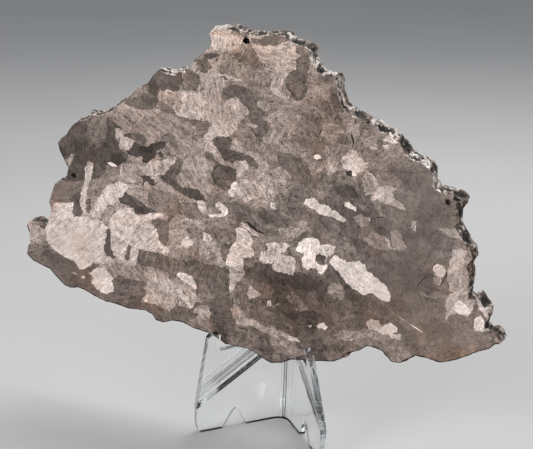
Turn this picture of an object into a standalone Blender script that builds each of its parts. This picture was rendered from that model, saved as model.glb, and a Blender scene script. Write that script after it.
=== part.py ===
"""Iron meteorite slice standing in a one-piece stand of bent clear acrylic.

The slice is a thin cut plate with two flat faces and a rough, pitted, crusted rim.
The stand is one 3 mm sheet: a fold at the back makes two wings that spread to the front,
each wing has a second, diagonal fold, and its front corner carries a slot and a lip.
Metres, +Z up, +X along the slice's length, the front face towards -Y.
"""
import math

import bmesh
import bpy
from mathutils import Vector, noise

MM = 0.001

# Slice, real sizes
SLICE_LENGTH = 250 * MM
SLICE_THICKNESS = 7 * MM
SLICE_LEAN = math.radians(5)
RIM_STEP = 3.2 * MM
RIM_ROWS = 4
RIM_SLANT = (1.0 * MM, 2.2 * MM)
RIM_ROUNDING = 0.7 * MM
LUMP_HEIGHT = 0.9 * MM
LUMP_SIZE = 7 * MM
LUMP_SHIFT = (31.7, 11.3, 5.9)
LUMP_ONSET = 2.5
LUMP_CHANGE = 1.7
RIM_PIT_RADIUS = 3.2 * MM
PIT_TURN = 0.7

# Stand, real sizes
SHEET = 3 * MM
BEND_RADIUS = 7 * MM
BEND_STEPS = 8
STAND_LEAN = math.radians(5)
WING_SPREAD = math.radians(43)
EAR_FOLD = math.radians(14)
SLOT_FLOOR = 43 * MM
LIP_TOP = 52.5 * MM
POST_TOP = 55 * MM
FOLD_TOP = 45 * MM
WING_REACH = 50 * MM
SLOT_MIDDLE = WING_REACH - 18 * MM
EAR_LOW = 13 * MM
EAR_HIGH = FOLD_TOP - 1 * MM
FOOT_TRIM = 1.5 * MM
SEAT_GAP = 0.3 * MM
# Where the slots can touch the slice: across from its middle, and no higher than its lower edge
SEAT_NEAR = 12.5 * MM
SEAT_FAR = WING_REACH * math.sin(WING_SPREAD)
SEAT_HIGH = 30 * MM

# How the photograph sees the slice: the outline below is read in its pixels
VIEW_YAW = math.radians(24)
VIEW_ELEVATION = math.radians(16)
VIEW_FOCAL_PX = 1100.0
VIEW_CENTRE_PX = (266.5, 224.5)
# How the seen outline is set back to the front face's edge: outline points either side of one that give
# its direction, how soon the set-back is full as the rim turns to the view, and the points it is evened over
SEEN_REACH = 5
SEEN_SLOPE = 1.2
SEEN_EVENING = 3

# The outline that the slice shows, clockwise from the left corner, read by eye from the photograph
OUTLINE_PX = [
    (49, 202), (54, 186), (60, 181), (66, 180), (67.2, 174), (68.5, 168), (65, 161), (60, 151), (58, 143),
    (61, 138.5), (67, 136.5), (70, 130), (75, 124.5), (81, 120), (88, 117.5), (92.5, 117), (94, 112),
    (105, 111.6), (117, 108), (122, 103), (129, 98.5), (134, 92.5), (141, 87.5), (149, 84),
    (153.5, 79), (158, 73), (161, 70), (166, 68), (174.7, 70.4), (182.4, 72), (185, 68),
    (190, 69.6), (195, 65.3), (196, 58.5), (202, 54), (206, 51.4), (210.4, 46.6), (212, 40.7),
    (211, 33), (216, 28), (225, 26.5), (236, 25.4), (246, 28), (255, 29.5), (263, 30.5), (269, 31.4),
    (277, 29.2), (285, 31.4), (293, 32.2), (297, 36), (304, 40), (312, 41.6), (318.4, 45.8),
    (317, 52), (321, 60), (326, 67.5), (334, 71.5), (342, 72), (344, 78), (345, 88), (347.5, 96),
    (350, 102.5), (356, 107.5), (361, 111.5), (370, 114.5), (375, 118.7), (383, 120.5), (388, 126),
    (397, 129.8), (404, 135), (409.5, 141.6), (412, 148.5), (418, 153.5), (427, 156), (435, 162),
    (439, 169), (438.3, 178), (442, 183), (449, 186.5), (463, 189.5), (469.5, 194), (468, 202),
    (462.5, 209), (461.5, 220), (466, 228), (470, 234), (473, 240.5), (477.5, 244.5), (479, 252),
    (473, 260), (475.5, 268), (474.5, 280), (474, 289), (477, 293), (484, 290.5), (489, 298),
    (494.5, 303.5), (493, 313), (489.5, 320), (493.5, 325.5), (499, 324.3), (503.5, 330), (504.3, 338),
    (497.5, 340.5), (490, 347.5), (479, 351.3), (467, 356), (455, 360), (439.7, 362.8), (430.3, 359.5),
    (424.4, 357.5), (415.8, 355.7), (407.3, 359.8), (400.5, 363.2), (392, 362), (386, 356), (382, 351),
    (375, 348), (366.5, 345.8), (360, 350), (347.7, 353.5), (341, 358.6), (332.4, 361.6), (318, 361),
    (305, 360), (291.5, 359.5), (281.3, 362.8), (271, 362.8), (262, 358), (256, 353), (247.7, 348.6),
    (237.5, 346.5), (225.6, 344), (214, 335.5), (208.7, 332.8), (193.4, 328), (183, 322.4), (173, 320.5),
    (163, 322.4), (156, 320), (152, 314), (146, 310.5), (127, 308), (117, 304), (105, 301), (95, 296),
    (83, 289), (77, 287), (71, 288), (64.5, 285), (56, 276), (49.5, 268.5), (34, 261), (27, 254),
    (28, 247), (30, 242), (29.7, 233), (28.5, 224), (33, 219.5), (40, 218.7), (45.5, 222),
    (47.5, 228), (50, 220), (51, 207.7),
]
LEFT_SEAT_PX = (222.0, 344.0)
RIGHT_SEAT_PX = (309.0, 361.0)

# Holes and pits of the front face: the middle and radius in the photograph's pixels, and the depth
PITS_PX = [
    ((73.4, 175.8), 2.9, 2 * SLICE_THICKNESS),
    ((246.0, 40.6), 3.0, 2.2 * MM),
    ((448.0, 202.0), 2.4, 1.8 * MM),
]
# Pits of the rim: the middle in the photograph's pixels, and the depth
RIM_PITS_PX = [
    ((203, 57), 1.4 * MM), ((263, 33), 1.4 * MM), ((299, 44), 1.6 * MM), ((312, 49), 1.8 * MM),
    ((324, 66), 1.2 * MM), ((362, 115), 1.2 * MM), ((386, 130), 1.8 * MM), ((405, 145), 2.0 * MM),
    ((437, 168), 1.2 * MM), ((459, 194), 2.2 * MM), ((460, 208), 1.8 * MM), ((470, 237), 1.4 * MM),
    ((486, 300), 1.6 * MM), ((490, 321), 1.8 * MM), ((101, 115), 1.2 * MM),
]


def view_axes():
    """Right, forward and up of the photograph's view."""
    cy, sy = math.cos(VIEW_YAW), math.sin(VIEW_YAW)
    ce, se = math.cos(VIEW_ELEVATION), math.sin(VIEW_ELEVATION)
    right = Vector((cy, sy, 0))
    forward = Vector((-sy * ce, cy * ce, -se))
    up = Vector((-sy * se, cy * se, ce))
    return right, forward, up


def plane_axes():
    """Along, up and back of the slice."""
    cl, sl = math.cos(SLICE_LEAN), math.sin(SLICE_LEAN)
    return Vector((1, 0, 0)), Vector((0, sl, cl)), Vector((0, cl, -sl))


def unit_point(pixel):
    """A pixel as a point of the front face, in units of the viewing distance."""
    right, forward, up = view_axes()
    along, rise, back = plane_axes()
    x = (pixel[0] - VIEW_CENTRE_PX[0]) / VIEW_FOCAL_PX
    y = (VIEW_CENTRE_PX[1] - pixel[1]) / VIEW_FOCAL_PX
    ray = forward + right * x + up * y
    hit = ray * (forward.dot(back) / ray.dot(back)) - forward
    return Vector((hit.dot(along), hit.dot(rise)))


def scale_to_length():
    """Metres for one unit of unit_point, from the slice's real length."""
    spread = [unit_point(p).x for p in OUTLINE_PX]
    return SLICE_LENGTH / (max(spread) - min(spread))


def face_point(pixel, scale):
    """A pixel as a point of the front face in metres, from the middle between the two seats."""
    middle = (unit_point(LEFT_SEAT_PX) + unit_point(RIGHT_SEAT_PX)) / 2
    return (unit_point(pixel) - middle) * scale


def resampled(points, step):
    """The closed outline with no side longer than the step."""
    out = []
    for a, b in zip(points, points[1:] + points[:1]):
        count = max(1, math.ceil((b - a).length / step))
        out += [a.lerp(b, k / count) for k in range(count)]
    return out


def outward(points, reach=1):
    """Unit normals that point out of a clockwise outline, from the points at a reach on both sides."""
    out = []
    for k in range(len(points)):
        side = points[(k + reach) % len(points)] - points[k - reach]
        out.append(Vector((-side.y, side.x)).normalized())
    return out


def seen_shift(point, scale):
    """How far the slice's thickness moves a point in the photograph, as a shift in the front face's plane."""
    forward = view_axes()[1]
    along, rise, back = plane_axes()
    middle = (unit_point(LEFT_SEAT_PX) + unit_point(RIGHT_SEAT_PX)) / 2
    eye = (Vector((-forward.dot(along), -forward.dot(rise))) - middle) * scale
    return (eye - point) * (SLICE_THICKNESS / (forward.dot(back) * scale))


def front_edge(outline, scale):
    """The front face's edge: the seen outline, set back where the rim shows beyond the face."""
    shifts = [seen_shift(p, scale) + Vector(RIM_SLANT) for p in outline]
    turned = [n.dot(shift.normalized()) for n, shift in zip(outward(outline, SEEN_REACH), shifts)]
    shares = [min(1.0, max(0.0, 0.5 + SEEN_SLOPE * share)) for share in turned]
    steps = range(-SEEN_EVENING, SEEN_EVENING + 1)
    out = []
    for k, point in enumerate(outline):
        near = [shares[(k + step) % len(shares)] for step in steps]
        out.append(point - shifts[k] * (sum(near) / len(near)))
    return out


def rim_point(point, normal, depth, pits):
    """A point of the rim at a depth of 0, the front edge, to 1, the back edge."""
    spot = Vector((point.x / LUMP_SIZE, point.y / LUMP_SIZE, LUMP_CHANGE * depth))
    field = Vector((noise.noise(spot), noise.noise(spot + Vector(LUMP_SHIFT))))
    belly = math.sin(math.pi * depth)
    slant = Vector(RIM_SLANT) * depth
    lumps = field * LUMP_HEIGHT * min(1.0, LUMP_ONSET * depth)
    bulged = point + slant + lumps + normal * RIM_ROUNDING * belly
    sunk = 0.0
    for middle, pit_depth in pits:
        off = Vector((bulged.x - middle.x, bulged.y - middle.y, SLICE_THICKNESS * (depth - 0.5)))
        away = off.length / RIM_PIT_RADIUS
        if away < 1:
            sunk = max(sunk, pit_depth * math.sqrt(1 - away * away))
    return bulged - normal * sunk


def rim_pits(front, normals, scale):
    """The rim's pits: the middle, on the rim halfway through the slice, and the depth."""
    middles = [rim_point(p, n, 0.5, ()) for p, n in zip(front, normals)]
    pits = []
    for pixel, pit_depth in RIM_PITS_PX:
        spot = face_point(pixel, scale)
        seen = spot - seen_shift(spot, scale) / 2
        pits.append((min(middles, key=lambda q: (q - seen).length), pit_depth))
    return pits


def slice_mesh(scale):
    """The plate: front face, rows of rough rim, back face."""
    front = front_edge(resampled([face_point(p, scale) for p in OUTLINE_PX], RIM_STEP), scale)
    normals = outward(front)
    pits = rim_pits(front, normals, scale)
    along, rise, back = plane_axes()
    bm = bmesh.new()
    rows = []
    for row in range(RIM_ROWS + 1):
        depth = row / RIM_ROWS
        flat = [rim_point(p, n, depth, pits) for p, n in zip(front, normals)]
        rows.append([bm.verts.new(along * q.x + rise * q.y + back * SLICE_THICKNESS * depth) for q in flat])
    bm.faces.new(rows[0])
    bm.faces.new(rows[-1])
    for near, far in zip(rows, rows[1:]):
        for k in range(len(near)):
            bm.faces.new((near[k - 1], near[k], far[k], far[k - 1]))
    bmesh.ops.recalc_face_normals(bm, faces=bm.faces)
    bmesh.ops.triangulate(bm, faces=bm.faces)
    mesh = bpy.data.meshes.new("meteorite_slice")
    bm.to_mesh(mesh)
    bm.free()
    return mesh


def sheet_outline():
    """The right half of the flat sheet: distance from the back fold and height over the floor."""
    reach = WING_REACH
    return [
        (0, -FOOT_TRIM), (20 * MM, -FOOT_TRIM), (21.5 * MM, 1.5 * MM), (25 * MM, 8.5 * MM),
        (26.5 * MM, 9.5 * MM), (28 * MM, 8.5 * MM), (33 * MM, 1 * MM), (34.5 * MM, -FOOT_TRIM),
        (reach - 6 * MM, -FOOT_TRIM), (reach - 3.5 * MM, 2 * MM), (reach - 2.5 * MM, 6 * MM),
        (reach - 2.5 * MM, 14 * MM), (reach - 4.5 * MM, LIP_TOP - 1.5 * MM),
        (reach - 6 * MM, LIP_TOP), (reach - 10 * MM, LIP_TOP),
        (reach - 11 * MM, LIP_TOP - 1 * MM), (reach - 11 * MM, SLOT_FLOOR + 1 * MM),
        (reach - 12 * MM, SLOT_FLOOR), (reach - 24.5 * MM, SLOT_FLOOR),
        (reach - 25.5 * MM, SLOT_FLOOR + 1 * MM), (reach - 26.5 * MM, POST_TOP - 1 * MM),
        (reach - 27.5 * MM, POST_TOP), (reach - 31 * MM, POST_TOP), (0, FOLD_TOP),
    ]


def pattern_point(s, z):
    """A point of the flat pattern for a distance s and a height z over the floor, once leaned."""
    return Vector((s, z / math.cos(STAND_LEAN) - abs(s) * math.cos(WING_SPREAD) * math.tan(STAND_LEAN)))


def ear_axis():
    """Start, direction and outward side of the right wing's diagonal fold, in the pattern."""
    low = pattern_point(WING_REACH, EAR_LOW)
    high = pattern_point(0, EAR_HIGH)
    run = (high - low).normalized()
    return low, run, Vector((-run.y, run.x)) * -1


def bent(distance, offset, radius, angle):
    """A sheet point past a fold line: its new distance from the line and its height off the sheet."""
    turn = max(0.0, min(distance / radius, angle))
    beyond = distance - radius * turn
    level = radius * math.sin(turn) + beyond * math.cos(turn) - offset * math.sin(turn)
    lift = radius * (1 - math.cos(turn)) + beyond * math.sin(turn) + offset * math.cos(turn)
    return level, lift


def stand_point(s, w, offset):
    """A point of the flat sheet, at an offset through its thickness, where the folds put it."""
    side = -1 if s < 0 else 1
    low, run, out = ear_axis()
    flat = Vector((abs(s), w)) - low
    level, lift = bent(flat.dot(out) + BEND_RADIUS * EAR_FOLD / 2, offset, BEND_RADIUS, EAR_FOLD)
    level -= BEND_RADIUS * EAR_FOLD / 2
    flat = low + run * flat.dot(run) + out * level
    half_fold = math.pi / 2 - WING_SPREAD
    turn = min(flat.x / BEND_RADIUS, half_fold)
    beyond = flat.x - BEND_RADIUS * turn
    inner = BEND_RADIUS - lift
    x = inner * math.sin(turn) + beyond * math.cos(turn)
    y = BEND_RADIUS - inner * math.cos(turn) + beyond * math.sin(turn)
    cl, sl = math.cos(STAND_LEAN), math.sin(STAND_LEAN)
    return Vector((side * x, -y * cl + flat.y * sl, flat.y * cl + y * sl))


def cut_across(bm, point, side):
    """Adds edges where a plane crosses the flat sheet."""
    everything = bm.verts[:] + bm.edges[:] + bm.faces[:]
    bmesh.ops.bisect_plane(bm, geom=everything, dist=1e-7, plane_co=point, plane_no=side)


def cut_bends(bm):
    """Edges across the sheet, so that its folds are round."""
    low, run, out = ear_axis()
    half_fold = BEND_RADIUS * (math.pi / 2 - WING_SPREAD)
    ear = BEND_RADIUS * EAR_FOLD
    for k in range(-BEND_STEPS, BEND_STEPS + 1):
        cut_across(bm, Vector((half_fold * k / BEND_STEPS, 0, 0)), Vector((1, 0, 0)))
    steps = BEND_STEPS // 2
    for side in (-1, 1):
        for k in range(steps + 1):
            spot = low + out * ear * (k / steps - 0.5)
            cut_across(bm, Vector((side * spot.x, spot.y, 0)), Vector((side * out.x, out.y, 0)))


def stand_mesh():
    """The sheet, cut flat, given its folds, and trimmed level under its feet."""
    half = [pattern_point(s, z) for s, z in sheet_outline()]
    mirrored = [Vector((-p.x, p.y)) for p in reversed(half) if p.x > 0]
    bm = bmesh.new()
    face = bm.faces.new([bm.verts.new((p.x, p.y, -SHEET / 2)) for p in half + mirrored])
    swept = bmesh.ops.extrude_face_region(bm, geom=[face])
    lifted = [v for v in swept["geom"] if isinstance(v, bmesh.types.BMVert)]
    bmesh.ops.translate(bm, verts=lifted, vec=(0, 0, SHEET))
    cut_bends(bm)
    bmesh.ops.triangulate(bm, faces=bm.faces)
    for v in bm.verts:
        v.co = stand_point(v.co.x, v.co.y, v.co.z)
    everything = bm.verts[:] + bm.edges[:] + bm.faces[:]
    cut = bmesh.ops.bisect_plane(bm, geom=everything, dist=1e-7, plane_co=(0, 0, 0),
                                 plane_no=(0, 0, -1), clear_outer=True)
    rims = [e for e in cut["geom_cut"] if isinstance(e, bmesh.types.BMEdge)]
    bmesh.ops.holes_fill(bm, edges=rims, sides=0)
    bmesh.ops.triangulate(bm, faces=bm.faces)
    bmesh.ops.recalc_face_normals(bm, faces=bm.faces)
    mesh = bpy.data.meshes.new("acrylic_stand")
    bm.to_mesh(mesh)
    bm.free()
    return mesh


def material(name, colour, roughness, metallic, clearness=0.0):
    """A plain Principled material; clearness is how far light passes through."""
    made = bpy.data.materials.new(name)
    made.use_nodes = True
    shader = made.node_tree.nodes["Principled BSDF"]
    shader.inputs["Base Color"].default_value = (*colour, 1)
    shader.inputs["Roughness"].default_value = roughness
    shader.inputs["Metallic"].default_value = metallic
    shader.inputs["Transmission Weight"].default_value = clearness
    made.diffuse_color = (*colour, 1)
    return made


def collection(name):
    """A new collection under the scene's own."""
    made = bpy.data.collections.new(name)
    bpy.context.scene.collection.children.link(made)
    return made


def pit_cutter(number, pit, scale, cutters):
    """A round-ended plug that sinks one pit; a deep one goes right through."""
    pixel, radius_px, depth = pit
    radius = radius_px * scale / VIEW_FOCAL_PX
    mesh = bpy.data.meshes.new(f"pit_{number}")
    bm = bmesh.new()
    bmesh.ops.create_icosphere(bm, subdivisions=1, radius=1.0)
    bm.to_mesh(mesh)
    bm.free()
    cutter = bpy.data.objects.new(f"pit_{number}", mesh)
    cutter.hide_render = True
    cutter.display_type = "WIRE"
    cutters.objects.link(cutter)
    spot = face_point(pixel, scale)
    along, rise, back = plane_axes()
    cutter.location = along * spot.x + rise * spot.y
    cutter.rotation_euler = (-SLICE_LEAN, 0, PIT_TURN * number)
    cutter.scale = (radius, depth, radius)
    return cutter


def seat_height(mesh):
    """The lowest point of the slice where the stand's two slots hold it."""
    spots = [v.co for v in mesh.vertices if SEAT_NEAR < abs(v.co.x) < SEAT_FAR and v.co.z < SEAT_HIGH]
    return min(spot.z for spot in spots)


def slot_middle():
    """How far forward of the back fold the middle of the slots lies."""
    w = pattern_point(SLOT_MIDDLE, SLOT_FLOOR).y
    return stand_point(SLOT_MIDDLE, w, 0).y


def main():
    for old in list(bpy.data.objects):
        bpy.data.objects.remove(old, do_unlink=True)
    parts = collection("meteorite_slice_on_stand")
    cutters = collection("cutters")

    scale = scale_to_length()
    stone = bpy.data.objects.new("meteorite_slice", slice_mesh(scale))
    stone.data.materials.append(material("iron", (0.36, 0.32, 0.30), 0.42, 1.0))
    parts.objects.link(stone)
    stand = bpy.data.objects.new("acrylic_stand", stand_mesh())
    stand.data.materials.append(material("clear_acrylic", (0.95, 0.96, 0.97), 0.03, 0.0, 1.0))
    parts.objects.link(stand)

    lift = SLOT_FLOOR + SEAT_GAP - seat_height(stone.data)
    seat = Vector((0, slot_middle() - SLICE_THICKNESS / 2, lift))
    for number, pit in enumerate(PITS_PX):
        cutter = pit_cutter(number, pit, scale, cutters)
        cutter.location += seat
        cut = stone.modifiers.new(f"pit_{number}", "BOOLEAN")
        cut.operation = "DIFFERENCE"
        cut.object = cutter
    stone.location = seat

    corners = [o.matrix_basis @ v.co for o in (stone, stand) for v in o.data.vertices]
    middle = Vector((max(c[k] for c in corners) + min(c[k] for c in corners) for k in range(2))) / 2
    for piece in [stone, stand] + list(cutters.objects):
        piece.location.x -= middle.x
        piece.location.y -= middle.y


main()
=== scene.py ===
"""Looks of the iron meteorite slice and its clear stand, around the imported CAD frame."""
import math
import random

import bmesh
import bpy
from mathutils import Matrix, Vector, geometry, kdtree, noise


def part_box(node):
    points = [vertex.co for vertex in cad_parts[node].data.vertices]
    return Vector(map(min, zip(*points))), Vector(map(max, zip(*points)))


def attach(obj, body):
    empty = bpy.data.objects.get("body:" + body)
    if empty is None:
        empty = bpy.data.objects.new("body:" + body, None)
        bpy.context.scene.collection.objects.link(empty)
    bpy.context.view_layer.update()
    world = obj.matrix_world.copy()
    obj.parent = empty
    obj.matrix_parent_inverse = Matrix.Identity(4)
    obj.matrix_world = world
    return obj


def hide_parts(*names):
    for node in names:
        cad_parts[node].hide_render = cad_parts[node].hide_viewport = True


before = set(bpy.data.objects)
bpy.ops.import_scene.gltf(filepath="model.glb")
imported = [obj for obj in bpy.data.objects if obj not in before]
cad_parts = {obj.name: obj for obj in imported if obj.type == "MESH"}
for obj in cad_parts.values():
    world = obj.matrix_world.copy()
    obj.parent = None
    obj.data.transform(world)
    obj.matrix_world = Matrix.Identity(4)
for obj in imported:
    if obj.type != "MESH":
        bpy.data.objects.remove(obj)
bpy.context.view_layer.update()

MM = 0.001

# The slice as the CAD has it
SLICE_LENGTH = 250 * MM
SLICE_THICKNESS = 7 * MM
SLICE_LEAN = math.radians(5)
RIM_STEP = 3.2 * MM
RIM_ROWS = 4
RIM_SLANT = (1.0 * MM, 2.2 * MM)
RIM_ROUNDING = 0.7 * MM
LUMP_HEIGHT = 0.9 * MM
LUMP_SIZE = 7 * MM
LUMP_SHIFT = (31.7, 11.3, 5.9)
# How soon behind the front edge the lumps have their full height, and how fast they change with depth
LUMP_ONSET = 2.5
LUMP_CHANGE = 1.7
RIM_PIT_RADIUS = 3.2 * MM

# The photograph's view, in its own pixels
VIEW_YAW = math.radians(24)
VIEW_ELEVATION = math.radians(16)
VIEW_FOCAL_PX = 1100.0
VIEW_CENTRE_PX = (266.5, 224.5)
IMAGE_WIDTH_PX = 533
SENSOR_MM = 36.0
# How the seen outline is set back to the front face's edge, as the CAD has it: outline points either side
# of one that give its direction, how soon the set-back is full, and the points it is evened over
SEEN_REACH = 5
SEEN_SLOPE = 1.2
SEEN_EVENING = 3

# Steps of this script's finer rim
FINE_ROWS = 14
EDGE_STEP = 0.9 * MM
# Ragged edge of the faces: the size of its waves, and its depth in millimetres
RAGGED_SIZE = 1.7 * MM
RAGGED_DEPTH = 0.22
# Painted shade: a dark strip along the face's lower edge, where the rim turns down out of the light. How far
# down it faces, the length of its waves in steps of the edge, and its widths in millimetres
SHADED_EDGE_FACING = -0.25
SHADED_EDGE_CHANGE = 9.0
SHADED_EDGE_LEAST = 0.35
SHADED_EDGE_MORE = 0.5
SHADED_EDGE_OVERHANG = 0.5
# The crust's lumps, grit and flat chips: their heights and sizes in millimetres
CRUST_COARSE = (0.55, 2.6)
CRUST_FINE = (0.40, 1.1)
CRUST_GRIT = (0.20, 0.6)
CRUST_CHIPS = (0.34, 2.0)
# Painted shade in the rim's pits: how much darker a pit of the rim is than its depth makes a dent of the
# crust
RIM_PIT_SHADE = 0.4

# Cells of the ground and of the patches: drawn out along one direction, the field that they fill, how far
# a seed is off its even place, the reach of a cell and the neighbours that it is cut by
GRAIN_TURN = math.radians(33)
GRAIN_STRETCH = 1.3
FIELD_MIDDLE_PX = (266, 200)
FIELD_REACH_PX = 400
FIELD_PX = ((10, 520), (10, 380))
SEED_JITTER = 0.48
CELL_REACH = 2.2
CELL_NEIGHBOURS = 18
# Steps of the outlines, spacing of the cells, the share of seeds that is kept, changes of tone
GRAIN_STEP_PX = 1.7
GROUND_STEP_PX = GRAIN_STEP_PX * 1.5
PATCH_STEP_PX = GRAIN_STEP_PX * 2.1
GROUND_SPACING_PX = 15.0
PATCH_SPACING_PX = 9.0
GROUND_SHARE = 0.86
PATCH_SHARE = 0.8
GROUND_CHANGE = 0.07
PATCH_CHANGE = 0.032
MOST_SHADE = 0.12
# Waves that move the grains' edges: their sizes, and how far the wide and the fine ones move each kind
SLOW_WAVE_PX = 13.0
QUICK_WAVE_PX = 4.1
CRISP_WAVE_PX = 1.9
CRISP_SHARE = 0.6
GRAIN_WIGGLE = (0.4, 1.5)
GROUND_WIGGLE = (5.0, 1.8)
PATCH_WIGGLE = (3.0, 1.6)
# How softly the ground's regions, the stains and the calm parts pass into one another
GROUND_SOFTNESS = 30.0
GROUND_FALL = 1.6
SOFT_FALL = 0.9
CALM_SHARE = 0.6
WASH_RAGGED_SIZE = 8 * MM
WASH_RAGGED = 3
# Thin lines along the grains' edges: how many, their corners, widths, contrasts and range of tones
LINES_PER_GRAIN = (0, 1, 1, 2)
LINE_CORNERS = (4, 9)
LINE_WIDTHS_PX = (0.45, 1.0)
LINE_CONTRASTS = (-0.3, -0.2, 0.18, 0.26)
LINE_TONES = (0.12, 0.95)
# Looks are brightness, warmth and chance, which turns the grain's streaks
PLAIN_LOOK = (0.5, 0.1, 0.5)
CRACK_LOOK = (0.05, 0.3, 0.5)
# The look of the painted shade along the face's lower edge
SHADED_EDGE_LOOK = (0.16, 0.3, 0.5)
STREAK_TURNS = 7.31
# Pits of the face: corners of their edge, how ragged it is, the shares of the radius where it is laid, and
# the share that is sunk
RING_CORNERS = 16
RING_CHANGE = 1.6
PIT_RAGGED = 0.9
PIT_RINGS = (1.0, 0.6)
PIT_SHARE = 0.9
# The back's grains: how far their tones differ, the range of them, and their fainter stains
BACK_CHANGE = 0.07
BACK_TONES = (0.12, 0.9)
BACK_WARMTH = 0.3
# Seeds of the random draws, and the distance at which the mosaic's points join
FACE_SEED = 21
GROUND_SEED = 7
PATCH_SEED = 11
BACK_SEED = 5
JOIN_MM = 1e-4

# Etched iron: tints for dark, bright and warm grains, and where between the tones they change
DARK_IRON = (1.0, 0.785, 0.69)
BRIGHT_IRON = (1.0, 0.86, 0.80)
WARM_IRON = (1.05, 0.74, 0.56)
STAIN_TINT = (1.06, 0.86, 0.72)
DISPLAY_POWER = 2.2
DARKEST = 0.02
BRIGHT_FROM = 0.45
BRIGHT_SPAN = 0.4
WARM_SHARE = 0.7
# Strength of the iron's mottling, streaks, clouds and specks, strongest in grains of one middling tone
MOTTLE_GAIN = 1.85
STREAK_GAIN = 1.55
STREAK_STRETCH = 0.16
CLOUD_GAIN = 0.5
SPECK_GAIN = 1.7
LIVELY_TONE = 0.58
LIVELY_MOST = 1.12
LIVELY_FALL = 5.0
LIVELY_LEAST = 0.4
# Crust: its browns by their place in the noise, rust, and bare iron
CRUST_DARKS = ((0.34, (0.022, 0.016, 0.012)), (0.50, (0.12, 0.082, 0.060)), (0.66, (0.27, 0.20, 0.16)))
RUST_COLOUR = (0.16, 0.058, 0.018)
BARE_COLOUR = (0.58, 0.52, 0.48)

# The stand's folds: its middle, a point and the way across the right wing's diagonal fold from there
STAND_MIDDLE_X = 12.26 * MM
EAR_POINT = (35.26 * MM, -19.59 * MM, 12.83 * MM)
EAR_ACROSS = (0.367, 0.358, -0.859)
# The draw lines beside a fold: how far they reach and are shifted, and the groove in its middle
FOLD_REACH = 6.5 * MM
FOLD_SHIFT = 4.5 * MM
FOLD_CORE = 1.3 * MM
FOLD_GROOVE = 0.55
FOLD_LINES_PER_METRE = 620.0
FOLD_RELIEF = 2.4 * MM
EDGE_SOFTENING = 0.3 * MM
CUT_EDGE_ANGLE = math.radians(35)
# The point that the lights face
LIT_POINT = (0, 0, 0.11)

# The outline that the slice shows, clockwise from the left corner, read from the photograph
OUTLINE_PX = [
    (49, 202), (54, 186), (60, 181), (66, 180), (67.2, 174), (68.5, 168), (65, 161), (60, 151), (58, 143),
    (61, 138.5), (67, 136.5), (70, 130), (75, 124.5), (81, 120), (88, 117.5), (92.5, 117), (94, 112),
    (105, 111.6), (117, 108), (122, 103), (129, 98.5), (134, 92.5), (141, 87.5), (149, 84), (153.5, 79),
    (158, 73), (161, 70), (166, 68), (174.7, 70.4), (182.4, 72), (185, 68), (190, 69.6), (195, 65.3),
    (196, 58.5), (202, 54), (206, 51.4), (210.4, 46.6), (212, 40.7), (211, 33), (216, 28), (225, 26.5),
    (236, 25.4), (246, 28), (255, 29.5), (263, 30.5), (269, 31.4), (277, 29.2), (285, 31.4), (293, 32.2),
    (297, 36), (304, 40), (312, 41.6), (318.4, 45.8), (317, 52), (321, 60), (326, 67.5), (334, 71.5),
    (342, 72), (344, 78), (345, 88), (347.5, 96), (350, 102.5), (356, 107.5), (361, 111.5), (370, 114.5),
    (375, 118.7), (383, 120.5), (388, 126), (397, 129.8), (404, 135), (409.5, 141.6), (412, 148.5),
    (418, 153.5), (427, 156), (435, 162), (439, 169), (438.3, 178), (442, 183), (449, 186.5), (463, 189.5),
    (469.5, 194), (468, 202), (462.5, 209), (461.5, 220), (466, 228), (470, 234), (473, 240.5),
    (477.5, 244.5), (479, 252), (473, 260), (475.5, 268), (474.5, 280), (474, 289), (477, 293), (484, 290.5),
    (489, 298), (494.5, 303.5), (493, 313), (489.5, 320), (493.5, 325.5), (499, 324.3), (503.5, 330),
    (504.3, 338), (497.5, 340.5), (490, 347.5), (479, 351.3), (467, 356), (455, 360), (439.7, 362.8),
    (430.3, 359.5), (424.4, 357.5), (415.8, 355.7), (407.3, 359.8), (400.5, 363.2), (392, 362), (386, 356),
    (382, 351), (375, 348), (366.5, 345.8), (360, 350), (347.7, 353.5), (341, 358.6), (332.4, 361.6),
    (318, 361), (305, 360), (291.5, 359.5), (281.3, 362.8), (271, 362.8), (262, 358), (256, 353),
    (247.7, 348.6), (237.5, 346.5), (225.6, 344), (214, 335.5), (208.7, 332.8), (193.4, 328), (183, 322.4),
    (173, 320.5), (163, 322.4), (156, 320), (152, 314), (146, 310.5), (127, 308), (117, 304), (105, 301),
    (95, 296), (83, 289), (77, 287), (71, 288), (64.5, 285), (56, 276), (49.5, 268.5), (34, 261), (27, 254),
    (28, 247), (30, 242), (29.7, 233), (28.5, 224), (33, 219.5), (40, 218.7), (45.5, 222), (47.5, 228),
    (50, 220), (51, 207.7),
]
# Where the slice rests in the stand's two slots
LEFT_SEAT_PX = (222.0, 344.0)
RIGHT_SEAT_PX = (309.0, 361.0)

# The hole through the slice: middle and radius in pixels
HOLE_PX = ((73.4, 175.8), 2.9)
# Shallow pits in the front face: middle and radius in pixels, depth, brightness of their ground
PITS_PX = [
    ((246.0, 40.6), 3.0, 2.0 * MM, 0.08),
    ((448.0, 202.0), 2.4, 1.6 * MM, 0.25),
]
# Pits of the rim: the middle in the photograph's pixels, and the depth
RIM_PITS_PX = [
    ((203, 57), 1.4 * MM), ((263, 33), 1.4 * MM), ((299, 44), 1.6 * MM), ((312, 49), 1.8 * MM),
    ((324, 66), 1.2 * MM), ((362, 115), 1.2 * MM), ((386, 130), 1.8 * MM), ((405, 145), 2.0 * MM),
    ((437, 168), 1.2 * MM), ((459, 194), 2.2 * MM), ((460, 208), 1.8 * MM), ((470, 237), 1.4 * MM),
    ((486, 300), 1.6 * MM), ((490, 321), 1.8 * MM), ((101, 115), 1.2 * MM),
]
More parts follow.
